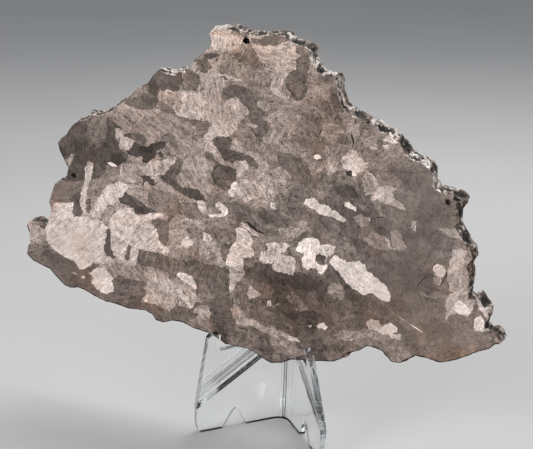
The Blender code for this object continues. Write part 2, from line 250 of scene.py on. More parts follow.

# Etched grains, read one by one: brightness from 0 to 1, warmth, then the grain's corners in pixels. The
# brightness is partly the iron's own etched tone and partly painted sheen, the light that the grain's crystal
# plates reflect. 47 of the brightnesses were then corrected, after measuring the mean brightness of the
# render and of the photograph inside each grain
GRAINS = [
    # left upper area
    (0.35, 0.1, (75, 121), (90, 116), (107, 117), (118, 124), (124, 128), (117, 129), (115, 136), (119, 141),
     (118, 149), (125, 152), (129, 156), (124, 164), (118, 166), (110, 162), (107, 163), (101, 172),
     (97, 178), (90, 181), (83, 180), (75, 181), (64, 181), (66, 168), (58, 151), (54, 143), (66, 135),
     (71, 127)),
    (0.47, 0.1, (87, 117), (105, 117), (107, 128), (105, 141), (98, 149), (89, 147), (86, 135)),
    (0.27, 0.0, (112, 152), (122, 154), (126, 160), (119, 166), (111, 162)),
    (0.46, 0.1, (52, 186), (62, 181), (82, 181), (84, 188), (80, 192), (73, 196), (73, 203), (62, 202),
     (50, 206), (46, 202)),
    (0.54, 0.1, (92, 181), (100, 178), (104, 172), (107, 166), (116, 166), (121, 175), (121, 182),
     (108, 184), (100, 192), (91, 193)),
    (0.57, 0.1, (121, 165), (130, 163), (141, 167), (145, 174), (140, 182), (128, 183), (121, 180)),
    (0.74, 0.0, (108, 185), (118, 182), (127, 184), (128, 190), (120, 199), (112, 206), (104, 214),
     (98, 219), (91, 217), (93, 207), (100, 196)),
    (0.58, 0.1, (127, 184), (141, 185), (147, 190), (149, 204), (141, 200), (134, 195), (128, 190)),
    (0.32, 0.1, (118, 200), (126, 192), (137, 199), (147, 207), (158, 212), (150, 213), (138, 215),
     (133, 212), (132, 207), (124, 204)),
    (0.46, 0.0, (149, 186), (160, 190), (175, 196), (181, 203), (196, 202), (200, 212), (206, 217),
     (195, 221), (180, 214), (168, 214), (158, 212), (148, 206)),
    (0.75, 0.0, (88, 160), (93.5, 163), (92, 176), (88, 187), (86, 195), (86, 204), (83, 214), (79.5, 203),
     (81, 192), (84, 181), (85, 169)),
    (0.38, 0.1, (87, 199), (91.5, 200), (89.5, 214), (85.5, 213)),
    (0.38, 0.1, (73, 194), (80, 192), (80, 203), (83, 213), (80, 217), (73, 216), (72, 205)),
    (0.63, 0.1, (65, 161), (68, 158), (71, 155), (74, 155), (72, 161), (68, 168)),
    # left bright block
    (0.79, 0.1, (50, 208), (53, 204), (62.8, 202), (73, 203), (72, 212), (76, 217), (84.8, 216), (96.7, 219),
     (107, 226), (108, 230), (106, 240), (103, 245), (105, 252), (100, 262), (93, 262), (85, 270), (79, 269),
     (76, 263), (62, 255), (50, 246), (46, 240), (46, 228), (50, 220)),
    (0.66, 0.1, (28, 222), (36, 218), (43, 221), (46, 228), (47, 240), (40, 243), (28, 243)),
    (0.74, 0.1, (110, 222), (113, 214), (120, 208), (133, 208), (134, 213), (140, 216), (150, 213),
     (163, 214), (164, 218), (150, 219), (146, 222), (158, 230), (158, 238), (163, 246), (170, 250),
     (168, 255), (150, 251), (140, 249), (138, 262), (134, 266), (128, 265), (130, 258), (131, 246),
     (127, 246), (124, 262), (116, 262), (115, 258), (111, 248), (110, 235)),
    (0.77, 0.0, (113, 220), (120, 217), (126, 221), (123, 227), (116, 228), (112, 224)),
    (0.36, 0.0, (107, 229), (110, 230), (111, 248), (116, 258), (113, 260), (107, 256), (104, 247),
     (106, 241)),
    (0.40, 0.0, (128, 245), (131, 246), (130, 258), (127, 262), (125, 258)),
    (0.59, 0.1, (99, 218), (108, 206), (116, 207), (112, 214), (108, 227)),
    # lower left
    (0.42, 0.15, (24, 254), (27, 245), (37, 243), (49, 247), (61, 255), (70, 259), (76, 263), (80, 270),
     (87, 268), (93, 264), (100, 264), (96, 269), (91, 273), (92, 281), (97, 290), (106, 294), (114, 291),
     (113, 279), (119, 275), (134, 280), (147, 281), (145, 288), (146, 294), (141, 302), (150, 303),
     (152, 318), (127, 312), (105, 305), (83, 292), (64, 290), (47, 272), (31, 264)),
    (0.75, 0.0, (80, 277), (84, 276), (85, 278), (81, 278.8)),
    (0.72, 0.0, (72.5, 272), (76, 273), (77, 274.5), (73.5, 273.6)),
    (0.80, 0.0, (92.5, 270), (97, 267), (105, 268), (113, 272), (118, 276), (113, 279), (113.5, 291),
     (105, 293.5), (97, 290), (92, 283), (94, 278), (89, 273)),
    (0.56, 0.1, (100, 264), (116, 262), (134, 266), (150, 267), (148, 280), (134, 280), (119, 275),
     (113, 279), (105, 268)),
    (0.65, 0.1, (150, 267), (162, 271), (169, 279), (180, 284), (192, 292), (198, 300), (190, 309),
     (176, 304), (170, 311), (160, 308), (152, 303), (141, 302), (146, 294), (144, 288), (148, 281)),
    (0.73, 0.1, (141, 302), (146, 295), (160, 294), (172, 297), (182, 304), (176, 304), (165, 303),
     (152, 303)),
    (0.81, 0.0, (177, 273), (180, 272), (190, 275), (198, 287), (196, 290), (190, 286), (183, 281),
     (178, 277)),
    (0.82, 0.0, (177, 289), (181, 291), (188, 298), (193, 306), (190, 309), (184, 301), (178, 294)),
    (0.59, 0.1, (193, 309), (200, 305), (208, 306), (211, 314), (210, 321), (202, 323), (194, 320),
     (199, 314), (193, 312)),
    (0.44, 0.15, (141, 302), (152, 303), (162, 308), (170, 311), (176, 304), (188, 309), (193, 311),
     (196, 318), (190, 325), (180, 325), (163, 326), (154, 322), (150, 313)),
    (0.42, 0.05, (139, 249), (152, 252), (165, 256), (180, 261), (197, 260), (210, 265), (222, 269),
     (230, 272), (230, 290), (228, 300), (215, 303), (206, 300), (198, 292), (196, 283), (190, 275),
     (178, 271), (174, 276), (170, 275), (163, 270), (152, 267), (137, 264)),
    (0.42, 0.1, (211, 300), (230, 295), (233, 303), (232, 315), (236, 322), (235, 335), (225, 347),
     (214, 338), (211, 322)),
    (0.53, 0.15, (196, 318), (211, 322), (214, 338), (200, 332), (190, 328), (183, 323)),
    (0.40, 0.0, (149, 220), (158, 219), (167, 221), (169, 214), (174, 216), (170, 222), (168, 240),
     (166, 246), (162, 244), (158, 236), (157, 229)),
    (0.74, 0.0, (183, 238), (188, 237), (193, 241), (193, 246), (187, 249), (181, 245)),
    (0.60, 0.05, (202, 233), (208, 234), (215, 241), (222, 248), (218, 251), (224, 262), (230, 270),
     (222, 268), (210, 262), (200, 258), (198, 246), (205, 244)),
    (0.76, 0.0, (203, 233), (207, 233), (212, 238), (210, 241), (204, 240)),
    (0.41, 0.0, (220, 247), (226, 242), (232, 244), (230, 252), (226, 260), (222, 256)),
    (0.77, 0.0, (236, 228), (243, 228), (250, 234), (253, 241), (251, 246), (254, 251), (254, 256),
     (243, 258), (243, 266), (237, 266), (230, 268), (226, 264), (228, 254), (231, 246), (236, 240)),
    (0.68, 0.0, (230, 268), (243, 266), (244, 275), (240, 281), (236, 283), (234, 290), (231, 293),
     (229, 289), (230, 280), (229, 274)),
    # top left
    (0.33, 0.1, (160, 68), (167, 70), (182, 72), (183, 80), (180, 91), (170, 92), (161, 90), (158, 100),
     (153, 110), (140, 110), (124, 104), (135, 91), (147, 82), (154, 74)),
    (0.44, 0.1, (134, 92), (142, 87), (150, 84), (148, 92), (140, 96), (131, 99)),
    (0.43, 0.15, (184, 68), (190, 70), (200, 74), (200, 84), (197, 92), (190, 90), (181, 91), (183, 80)),
    (0.54, 0.2, (160, 92), (168, 91), (180, 94), (183, 105), (180, 113), (172, 108), (162, 101), (158, 97)),
    (0.42, 0.1, (157, 100), (162, 101), (172, 108), (177, 115), (190, 120), (205, 121), (211, 122),
     (208, 130), (203, 138), (195, 137), (196, 128), (188, 123), (178, 119), (169, 114), (160, 110),
     (155, 108)),
    (0.69, 0.15, (200, 74), (218, 73), (227, 80), (226, 86), (222, 90), (221, 97), (224, 103), (230, 99),
     (239, 98), (241, 103), (248, 108), (248, 113), (243, 119), (240, 122), (236, 130), (229, 136),
     (217, 136), (211, 139), (203, 139), (208, 131), (212, 124), (208, 120), (198, 120), (188, 119),
     (178, 113), (183, 104), (180, 93), (190, 92), (198, 92)),
    (0.68, 0.0, (183, 110), (190, 109), (198, 113), (197, 119), (188, 119), (181, 116)),
    (0.70, 0.0, (212, 124), (222, 118), (234, 120), (238, 126), (229, 135), (217, 136), (205, 139)),
    (0.51, 0.25, (109, 119), (125, 111), (150, 110), (162, 111), (175, 116), (190, 124), (196, 130),
     (193, 138), (200, 146), (198, 155), (190, 152), (180, 150), (178, 143), (170, 134), (160, 138),
     (152, 146), (146, 144), (146, 137), (135, 133), (126, 130), (117, 125)),
    (0.45, 0.05, (160, 137), (168, 131), (175, 136), (178, 146), (183, 154), (177, 158), (168, 156),
     (163, 151), (166, 143), (160, 142)),
    (0.24, 0.0, (129, 149), (135, 142), (142, 145), (148, 147), (160, 141), (166, 142), (165, 147),
     (157, 151), (155, 157), (150, 161), (143, 163), (141, 157), (131, 155), (127, 152)),
    (0.34, 0.05, (124, 134), (131, 132), (144, 134), (147, 141), (143, 145), (136, 142), (132, 140),
     (124, 136)),
    (0.25, 0.0, (157, 153), (161, 152), (164, 156), (161, 158), (157, 154)),
    (0.64, 0.0, (116, 128), (125, 130), (123, 135), (134, 140), (131, 148), (128, 151), (119, 149),
     (119, 141), (115, 136)),
    (0.65, 0.0, (143, 167), (150, 161), (165, 160), (177, 157), (174, 163), (168, 171), (161, 174),
     (152, 176), (146, 173)),
    (0.96, 0.0, (107, 163), (110, 161.5), (117, 166), (113, 167)),
    (0.27, 0.0, (141, 177), (146, 175), (154, 180), (155, 186), (151, 186), (147, 181), (141, 186),
     (143, 181)),
    (0.55, 0.1, (184, 160), (197, 156), (212, 160), (216, 164), (213, 172), (215, 182), (212, 192),
     (206, 201), (200, 192), (196, 188), (184, 187), (176, 180), (181, 170)),
    (0.37, 0.0, (181, 158), (184, 160), (180, 172), (174, 180), (168, 178), (163, 174), (170, 168),
     (176, 161)),
    (0.30, 0.0, (160, 175), (166, 174), (175, 180), (181, 187), (190, 188), (198, 190), (204, 197),
     (206, 201), (196, 200), (187, 197), (176, 190), (166, 182)),
    (0.35, 0.05, (214, 166), (218, 164), (228, 166), (238, 170), (237, 178), (232, 186), (229, 192),
     (222, 190), (214, 186), (212, 176)),
    (0.35, 0.05, (211, 140), (216, 137), (228, 136), (232, 138), (232, 147), (228, 150), (238, 151),
     (250, 156), (259, 164), (258, 169), (250, 167), (243, 160), (236, 161), (232, 164), (225, 161),
     (220, 154), (216, 148)),
    (0.66, 0.0, (238, 161), (245, 160), (248, 165), (247, 172), (241, 177), (236, 178), (237, 170),
     (236, 165)),
    (0.73, 0.0, (231, 185), (236, 180), (238, 184), (236, 190), (233, 197), (230, 196), (228, 191),
     (231, 188)),
    (0.76, 0.0, (197, 201), (203, 201), (207, 207), (206, 214), (200, 211), (197, 206)),
    (0.80, 0.0, (215, 204), (220, 202.5), (228, 208), (228, 213), (225, 217), (210, 217), (209, 215),
     (218, 214), (222, 212), (217, 208)),
    (0.44, 0.05, (222, 91), (226, 88), (232, 84), (242, 86), (250, 90), (257, 96), (262, 98), (258, 105),
     (262, 110), (268, 112), (266, 118), (258, 121), (254, 118), (248, 120), (248, 108), (241, 103),
     (239, 98), (230, 99), (224, 103), (221, 97)),
    (0.66, 0.05, (257, 100), (262, 101), (268, 110), (263, 110), (257, 106)),
    (0.41, 0.05, (250, 118), (262, 119), (272, 124), (268, 132), (262, 138), (255, 134), (250, 128)),
    (0.31, 0.0, (253, 132), (262, 136), (264, 142), (257, 140)),
    (0.62, 0.05, (246, 124), (252, 123), (258, 127), (252, 128)),
    # top
    (0.68, 0.1, (210, 33), (217, 35), (235, 36), (241, 38), (242, 42), (238, 46), (229, 48), (227, 52),
     (214, 51), (211, 41)),
    (0.40, 0.4, (250, 38), (258, 39), (268, 36), (280, 33), (293, 33), (294, 40), (288, 41), (280, 45),
     (262, 46), (252, 43)),
    (0.51, 0.5, (230, 50), (240, 47), (250, 44), (255, 48), (261, 60), (262, 70), (254, 68), (246, 62),
     (238, 62)),
    (0.61, 0.4, (212, 53), (222, 53), (230, 50), (238, 62), (240, 70), (232, 74), (222, 72), (210, 64)),
    (0.42, 0.3, (196, 60), (206, 58), (212, 66), (206, 73), (199, 72)),
    (0.33, 0.3, (204, 56), (213, 52), (220, 54), (216, 58), (206, 59)),
    (0.66, 0.2, (255, 47), (279, 45), (288, 41), (295, 43), (297, 53), (300, 56), (296, 60), (296, 69),
     (290, 72), (287, 76), (284, 79), (276, 74), (268, 69), (261, 60)),
    (0.66, 0.1, (271, 73), (285, 79), (286, 88), (291, 93), (289, 98), (281, 98), (273, 94), (270, 88),
     (271, 81)),
    (0.62, 0.2, (240, 63), (246, 62), (254, 68), (262, 78), (266, 84), (258, 84), (250, 80), (242, 70)),
    (0.82, 0.1, (219, 74), (225, 73), (240, 80), (242, 82), (236, 81), (228, 78)),
    (0.30, 0.1, (221, 75.5), (228, 79), (226, 80.5), (220, 76.5)),
    (0.39, 0.1, (287, 75), (291, 71), (296, 69), (296, 60), (301, 56), (310, 55), (311, 62), (309, 70),
     (307, 84), (308, 92), (302, 100), (296, 101), (290, 92), (286, 84)),
    (0.54, 0.2, (311, 58), (316, 60), (319, 68), (318, 78), (319, 83), (312, 88), (308, 89), (306, 84),
     (308, 74)),
    (0.39, 0.1, (330, 88), (340, 84), (348, 96), (350, 104), (343, 112), (335, 112), (330, 102)),
    # middle and right of the middle
    (0.35, 0.0, (336, 187), (343, 184), (352, 185), (357, 190), (358, 197), (350, 200), (341, 197),
     (335, 192)),
    (0.70, 0.0, (341, 160), (345, 154), (350, 150), (356, 151), (359, 157), (366, 161), (369, 166),
     (365, 171), (355, 173), (350, 170), (344, 168)),
    (0.70, 0.0, (352, 172), (357, 173), (356, 176), (352, 175)),
    (0.20, 0.0, (345, 171), (352, 171), (352, 177), (347, 176)),
    (0.58, 0.05, (324, 145), (328, 147), (335, 155), (339, 163), (338, 170), (331, 176), (325, 174),
     (327, 163), (325, 154)),
    (0.95, 0.0, (315, 155), (319, 154), (320, 158), (317, 160), (314, 158)),
    (0.83, 0.0, (303, 204), (306, 200), (312, 197), (316, 200), (320, 204), (329, 207), (338, 212),
     (345, 219), (346, 222), (342, 222), (337, 219), (329, 217), (320, 214), (311, 209)),
    (0.90, 0.0, (344, 203), (348, 202), (356, 207), (357, 211), (352, 210), (345, 206)),
    (0.62, 0.1, (366, 170), (374, 178), (382, 186), (374, 194), (366, 196), (362, 186), (363, 176)),
    (0.69, 0.05, (375, 192), (381, 186), (388, 185), (397, 189), (392, 192), (393, 197), (399, 202),
     (405, 207), (405, 210), (398, 208), (389, 205), (378, 200), (371, 200), (371, 197)),
    (0.41, 0.0, (370, 225), (377, 217), (385, 218), (392, 222), (391, 238), (384, 236), (374, 231)),
    (0.60, 0.05, (354, 217), (360, 214), (370, 219), (368, 225), (362, 227), (356, 222)),
    (0.58, 0.05, (373, 232), (385, 237), (389, 243), (391, 250), (380, 250), (368, 246), (362, 238)),
    (0.74, 0.0, (385, 237), (389, 241), (393, 249), (396, 251), (391, 250), (387, 243)),
    (0.60, 0.1, (391, 232), (398, 230), (405, 244), (408, 247), (400, 251), (394, 250), (391, 240)),
    (0.66, 0.0, (412, 220), (416, 222), (415, 230), (411, 228)),
    (0.44, 0.0, (421, 229), (426, 226), (436, 231), (446, 236), (440, 246), (430, 243), (421, 238)),
    (0.62, 0.0, (438, 229), (452, 228), (464, 229), (468, 236), (462, 240), (447, 236)),
    (0.62, 0.1, (276, 230), (283, 227), (290, 228), (296, 224), (302, 220), (307, 222), (306, 230),
     (299, 235), (292, 241), (286, 241), (281, 235)),
    (0.72, 0.0, (240, 222), (246, 224), (256, 232), (258, 236), (252, 234), (244, 227)),
    (0.20, 0.0, (243, 220), (252, 224.5), (262, 232), (268, 236.5), (260, 233), (250, 227)),
    (0.63, 0.05, (238, 180), (252, 178), (262, 182), (268, 180), (275, 186), (272, 193), (268, 200),
     (258, 198), (246, 202), (240, 198), (236, 190)),
    (0.74, 0.0, (271, 203), (275, 203), (276, 209), (272, 210)),
    (0.57, 0.0, (256, 146), (262, 143), (268, 146), (272, 150), (266, 154), (260, 152)),
    # centre low
    (0.86, 0.0, (296, 248), (298, 242), (305, 239), (312, 237), (318, 240), (320, 245), (328, 244),
     (335, 247), (334, 252), (331, 257), (328, 256), (326, 262), (327, 268), (322, 275), (318, 272),
     (315, 267), (311, 268), (307, 270), (302, 267), (302, 258), (304, 254), (297, 252)),
    (0.35, 0.0, (317, 256), (321, 254), (326, 257), (325, 264), (319, 265), (315, 261)),
    (0.87, 0.0, (334, 256), (338, 257), (344, 261), (350, 262), (359, 261), (365, 265), (368, 271),
     (378, 279), (386, 286), (390, 295), (391, 301), (385, 302), (378, 298), (373, 292), (363, 295),
     (357, 291), (351, 288), (345, 282), (341, 275), (334, 268), (329, 262)),
    (0.78, 0.0, (266, 244), (272, 242), (283, 243), (289, 245), (286, 250), (282, 254), (295, 258),
     (296, 266), (293, 276), (284, 273), (272, 270), (272, 264), (262, 263), (259, 258), (262, 252),
     (268, 250)),
    (0.72, 0.0, (249, 283), (253, 288), (262, 295), (255, 298), (250, 299), (246, 294), (249, 290)),
    (0.76, 0.0, (268, 301), (270, 300), (272, 306), (266, 307)),
    (0.58, 0.0, (272, 306), (278, 303), (279, 304), (273, 307)),
    (0.65, 0.1, (232, 304), (238, 303), (240, 308), (246, 312), (247, 317), (256, 321), (266, 327),
     (280, 331), (290, 336), (297, 337), (300, 342), (292, 341), (280, 336), (270, 336), (262, 331),
     (250, 326), (238, 324), (233, 319), (231, 311)),
    (0.83, 0.0, (285, 334), (296, 337), (300, 342), (291, 341)),
    (0.50, 0.2, (236, 326), (250, 330), (262, 339), (270, 338), (280, 340), (276, 346), (262, 345),
     (248, 338)),
    (0.56, 0.1, (327, 286), (335, 283), (341, 283), (346, 291), (343, 300), (335, 299), (328, 294)),
    (0.85, 0.0, (316, 326), (320, 323), (325, 323), (328, 329), (325, 330), (319, 328)),
    (0.70, 0.0, (308, 326), (312, 325), (311, 328)),
    (0.57, 0.1, (334, 334), (342, 330), (352, 331), (366, 334), (362, 340), (350, 341), (338, 339)),
    (0.80, 0.0, (350, 340), (353, 337), (352, 341)),
    (0.72, 0.0, (366, 322), (372, 319), (379, 321), (382, 327), (376, 331), (369, 329)),
    (0.60, 0.1, (366, 334), (376, 331), (389, 335), (391, 341), (380, 340), (372, 338)),
    (0.85, 0.0, (377, 331), (384, 325), (390, 323), (396, 327), (397, 332), (390, 334), (382, 334)),
    (0.78, 0.0, (389, 334), (401, 334), (401, 339), (397, 340), (391, 337)),
    # right
    (0.70, 0.0, (453, 250), (462, 249), (468, 251), (465, 262), (462, 270), (461, 280), (463, 290),
     (458, 293), (450, 292), (448, 284), (447, 272), (450, 262)),
    (0.77, 0.0, (454, 250), (460, 251), (455, 262), (451, 262)),
    (0.57, 0.0, (466, 250), (481, 250), (475, 260), (479, 268), (479, 281), (477, 290), (464, 291),
     (461, 282), (463, 268)),
    (0.70, 0.0, (446, 300), (450, 294), (458, 291), (466, 291), (474, 296), (474, 304), (472, 312),
     (467, 317), (456, 313), (450, 316), (445, 320), (446, 310)),
    (0.84, 0.0, (452, 308), (458, 300), (466, 306), (471, 312), (467, 317), (456, 313)),
    (0.55, 0.0, (458, 296), (466, 294), (464, 302), (459, 301)),
    (0.84, 0.0, (434, 266), (438, 264), (443, 266), (446, 271), (444, 276), (440, 278), (434, 275)),
    (0.60, 0.0, (433, 277), (441, 278), (440, 285), (433, 284)),
    (0.77, 0.0, (475, 297), (482, 296), (492, 306), (493, 312), (487, 318), (480, 311)),
    (0.87, 0.0, (474, 319), (480, 316), (484, 321), (487, 328), (484, 332), (474, 331)),
    (0.54, 0.0, (488, 328), (494, 324), (500, 322), (508, 330), (506, 340), (497, 342), (490, 336)),
    (0.76, 0.0, (383, 140), (388, 137), (396, 137), (399, 143), (392, 143), (384, 141)),
    (0.74, 0.0, (383, 145), (388, 144), (390, 149), (384, 149)),
    (0.66, 0.0, (366, 142), (372, 146), (378, 149), (371, 149)),
    # dark hollows by the right pit
    (0.16, 0.5, (452, 193), (457, 191), (462, 194), (463, 199), (458, 202), (453, 199)),
    (0.22, 0.6, (456, 203), (461, 202), (463, 208), (459, 212), (456, 208)),
]

# Cracks: width, then the line in pixels
CRACKS = [
    (1.1, (354.5, 117), (355.5, 122), (354.5, 127)),
    (1.6, (351.5, 130), (352, 137), (353.5, 141), (352.5, 149)),
    (1.2, (321.5, 128), (320, 133), (318.5, 137)),
    (1.0, (337.5, 116.5), (334.5, 120.5)),
    (0.9, (322, 176), (318, 182)),
    (0.9, (446, 268), (447, 274), (442, 283), (437, 288)),
    (0.9, (284, 188.5), (288, 187), (293, 183.5)),
    (0.8, (212, 180), (211.5, 174), (214, 167)),
    (0.8, (431, 275), (424, 278.5), (419, 284), (415, 290)),
]
# Bright scratches: width, brightness, then the line in pixels
SCRATCHES = [
    (1.3, 0.92, (408.5, 323), (416, 328), (424, 333.6)),
    (0.8, 0.68, (391, 312), (400, 317.5), (408.5, 323)),
    (0.9, 0.66, (417, 291), (427, 296.5), (437, 298)),
]

# Soft regions of the ground between those grains, read and corrected like them, their brightness likewise
# partly
# painted sheen: middle, brightness, warmth
GROUND = [
    ((90, 150), 0.40, 0.1), ((60, 195), 0.46, 0.1), ((45, 235), 0.66, 0.1), ((80, 235), 0.74, 0.1),
    ((130, 240), 0.70, 0.05), ((130, 120), 0.55, 0.3), ((170, 125), 0.60, 0.2), ((185, 175), 0.52, 0.1),
    ((185, 225), 0.52, 0.05), ((180, 255), 0.55, 0.05), ((175, 290), 0.56, 0.1), ((165, 315), 0.44, 0.1),
    ((220, 320), 0.44, 0.1), ((205, 80), 0.62, 0.2), ((235, 60), 0.58, 0.6), ((215, 110), 0.66, 0.1),
    ((240, 140), 0.54, 0.1), ((225, 205), 0.46, 0.05), ((250, 190), 0.58, 0.05), ((255, 215), 0.50, 0.05),
    ((285, 120), 0.54, 0.15), ((320, 100), 0.55, 0.15), ((335, 75), 0.45, 0.1), ((290, 165), 0.47, 0.1),
    ((310, 185), 0.44, 0.05), ((270, 222), 0.44, 0.05), ((340, 125), 0.52, 0.25), ((335, 140), 0.48, 0.2),
    ((370, 130), 0.48, 0.1), ((380, 160), 0.49, 0.15), ((325, 230), 0.48, 0.05), ((350, 230), 0.48, 0.0),
    ((350, 200), 0.40, 0.05), ((410, 175), 0.48, 0.05), ((430, 200), 0.49, 0.0), ((455, 215), 0.48, 0.1),
    ((410, 225), 0.44, 0.05), ((400, 240), 0.46, 0.05), ((370, 255), 0.42, 0.0), ((425, 260), 0.46, 0.1),
    ((445, 245), 0.48, 0.0), ((250, 275), 0.42, 0.1), ((240, 290), 0.46, 0.05), ((310, 290), 0.36, 0.15),
    ((345, 310), 0.42, 0.05), ((300, 315), 0.32, 0.15), ((260, 312), 0.38, 0.0), ((380, 308), 0.42, 0.05),
    ((420, 300), 0.44, 0.1), ((430, 325), 0.47, 0.1), ((460, 340), 0.50, 0.2), ((450, 355), 0.50, 0.7),
    ((400, 350), 0.52, 0.1), ((480, 340), 0.50, 0.05), ((320, 345), 0.46, 0.15), ((280, 350), 0.48, 0.15),
    ((250, 335), 0.48, 0.2), ((470, 230), 0.54, 0.1), ((476, 280), 0.52, 0.0), ((490, 335), 0.52, 0.0),
]
# Soft washes of stain over the grains, read one by one, with gains corrected in the same way; the gains are
# partly painted shade, darkest towards the top and the upper left, where the lights fall brighter: middle and
# half-widths in pixels, turn in degrees, gain, warmth
WASHES = [
    ((292, 303), (46, 25), -12, 0.84, 0.35), ((282, 285), (26, 12), 0, 0.84, 0.2),
    ((330, 310), (30, 14), 0, 0.86, 0.1), ((425, 190), (26, 38), 20, 0.90, -0.2),
    ((445, 215), (22, 26), 0, 1.03, -0.2), ((405, 275), (36, 30), 0, 0.84, 0.0),
    ((450, 356), (34, 8), 8, 0.95, 0.45), ((258, 54), (34, 10), 5, 1.0, 0.3),
    ((295, 190), (30, 26), 0, 0.88, 0.0), ((225, 318), (18, 26), 0, 0.86, 0.0),
    ((90, 150), (42, 32), 0, 0.58, 0.0), ((60, 238), (20, 12), 0, 1.05, 0.0),
    ((360, 225), (40, 24), 0, 0.90, 0.0), ((150, 305), (60, 8), 12, 0.93, 0.3),
    ((220, 112), (36, 26), 0, 0.75, 0.1), ((330, 100), (30, 26), 0, 0.97, 0.3),
    ((470, 300), (18, 30), 0, 1.05, 0.0), ((425, 320), (60, 34), 0, 1.10, 0.1),
    ((345, 235), (110, 120), 0, 0.94, 0.0), ((245, 72), (66, 44), 0, 0.50, 0.05),
    ((85, 238), (62, 26), 0, 0.87, 0.0), ((318, 128), (34, 24), 0, 0.71, 0.05),
]
# Parts of the face with little mottling: middle and half-widths in pixels
CALM = [
    ((425, 205), (38, 55)), ((405, 280), (45, 34)), ((435, 335), (60, 24)), ((60, 190), (22, 12)),
    ((70, 270), (40, 14)), ((76, 240), (30, 18)),
]


def view_axes():
    """Right, forward and up of the photograph's view."""
    cy, sy = math.cos(VIEW_YAW), math.sin(VIEW_YAW)
    ce, se = math.cos(VIEW_ELEVATION), math.sin(VIEW_ELEVATION)
    return Vector((cy, sy, 0)), Vector((-sy * ce, cy * ce, -se)), Vector((-sy * se, cy * se, ce))


def plane_axes():
    """Along, up and back of the slice."""
    cl, sl = math.cos(SLICE_LEAN), math.sin(SLICE_LEAN)
    return Vector((1, 0, 0)), Vector((0, sl, cl)), Vector((0, cl, -sl))


RIGHT, FORWARD, UP = view_axes()
ALONG, RISE, BACK = plane_axes()


def unit_point(pixel):
    """A pixel as a point of the front face, in units of the viewing distance."""
    x = (pixel[0] - VIEW_CENTRE_PX[0]) / VIEW_FOCAL_PX
    y = (VIEW_CENTRE_PX[1] - pixel[1]) / VIEW_FOCAL_PX
    ray = FORWARD + RIGHT * x + UP * y
    hit = ray * (FORWARD.dot(BACK) / ray.dot(BACK)) - FORWARD
    return Vector((hit.dot(ALONG), hit.dot(RISE)))


SPREAD = [unit_point(p).x for p in OUTLINE_PX]
VIEW_DISTANCE = SLICE_LENGTH / (max(SPREAD) - min(SPREAD))
PIXEL_SIZE = VIEW_DISTANCE / VIEW_FOCAL_PX
SEAT_MIDDLE = (unit_point(LEFT_SEAT_PX) + unit_point(RIGHT_SEAT_PX)) / 2


def face_point(pixel):
    """A pixel as a point of the front face in metres, from the middle between the two seats."""
    return (unit_point(pixel) - SEAT_MIDDLE) * VIEW_DISTANCE


def resampled(points, step):
    """The closed outline with no side longer than the step."""
    out = []
    for a, b in zip(points, points[1:] + points[:1]):
        count = max(1, math.ceil((b - a).length / step))
        out += [a.lerp(b, k / count) for k in range(count)]
    return out


def outward(points, reach=1):
    """Unit normals that point out of a clockwise outline."""
    count = len(points)
    sides = [points[(k + reach) % count] - points[k - reach] for k in range(count)]
    return [Vector((-s.y, s.x)).normalized() for s in sides]


def within(value, limits):
    """A value held between its least and its most."""
    return min(limits[1], max(limits[0], value))


def turning(points):
    """Twice the area inside an outline, below zero where it runs clockwise."""
    return sum(a.cross(b) for a, b in zip(points, points[1:] + points[:1]))


def drift(spot):
    """A smooth random shift in the plane, the same on every run."""
    return Vector((noise.noise(spot), noise.noise(spot + Vector(LUMP_SHIFT))))


def seen_shift(point):
    """How far the slice's thickness moves a point in the photograph, as a shift in the front face's plane."""
    eye = (Vector((-FORWARD.dot(ALONG), -FORWARD.dot(RISE))) - SEAT_MIDDLE) * VIEW_DISTANCE
    return (eye - point) * (SLICE_THICKNESS / (FORWARD.dot(BACK) * VIEW_DISTANCE))


def front_edge(outline):
    """The front face's edge: the seen outline, set back where the rim shows beyond the face."""
    shifts = [seen_shift(p) + Vector(RIM_SLANT) for p in outline]
    turned = [n.dot(shift.normalized()) for n, shift in zip(outward(outline, SEEN_REACH), shifts)]
    shares = [within(0.5 + SEEN_SLOPE * share, (0.0, 1.0)) for share in turned]
    steps = range(-SEEN_EVENING, SEEN_EVENING + 1)
    out = []
    for k, point in enumerate(outline):
        near = [shares[(k + step) % len(shares)] for step in steps]
        out.append(point - shifts[k] * (sum(near) / len(near)))
    return out


def rim_point(point, normal, depth, pits):
    """A point of the rim at a depth of 0, the front edge, to 1, the back edge."""
    field = drift(Vector((point.x / LUMP_SIZE, point.y / LUMP_SIZE, LUMP_CHANGE * depth)))
    belly = math.sin(math.pi * depth)
    lumps = field * LUMP_HEIGHT * min(1.0, LUMP_ONSET * depth)
    bulged = point + Vector(RIM_SLANT) * depth + lumps + normal * RIM_ROUNDING * belly
    sunk = 0.0
    for middle, pit_depth in pits:
        off = Vector((bulged.x - middle.x, bulged.y - middle.y, SLICE_THICKNESS * (depth - 0.5)))
        away = off.length / RIM_PIT_RADIUS
        if away < 1:
            sunk = max(sunk, pit_depth * math.sqrt(1 - away * away))
    return bulged - normal * sunk


def rim_pits(front, normals):
    """The rim's pits: the middle, on the rim halfway through the slice, and the depth."""
    middles = [rim_point(p, n, 0.5, ()) for p, n in zip(front, normals)]
    pits = []
    for pixel, pit_depth in RIM_PITS_PX:
        spot = face_point(pixel)
        seen = spot - seen_shift(spot) / 2
        pits.append((min(middles, key=lambda q: (q - seen).length), pit_depth))
    return pits


def in_space(flat, depth):
    """A point of the slice's plane, at a depth in metres, before the slice is set in its place."""
    return ALONG * flat.x + RISE * flat.y + BACK * depth


FRONT = front_edge(resampled([face_point(p) for p in OUTLINE_PX], RIM_STEP))
FRONT_NORMALS = outward(FRONT)
PITS_OF_RIM = rim_pits(FRONT, FRONT_NORMALS)


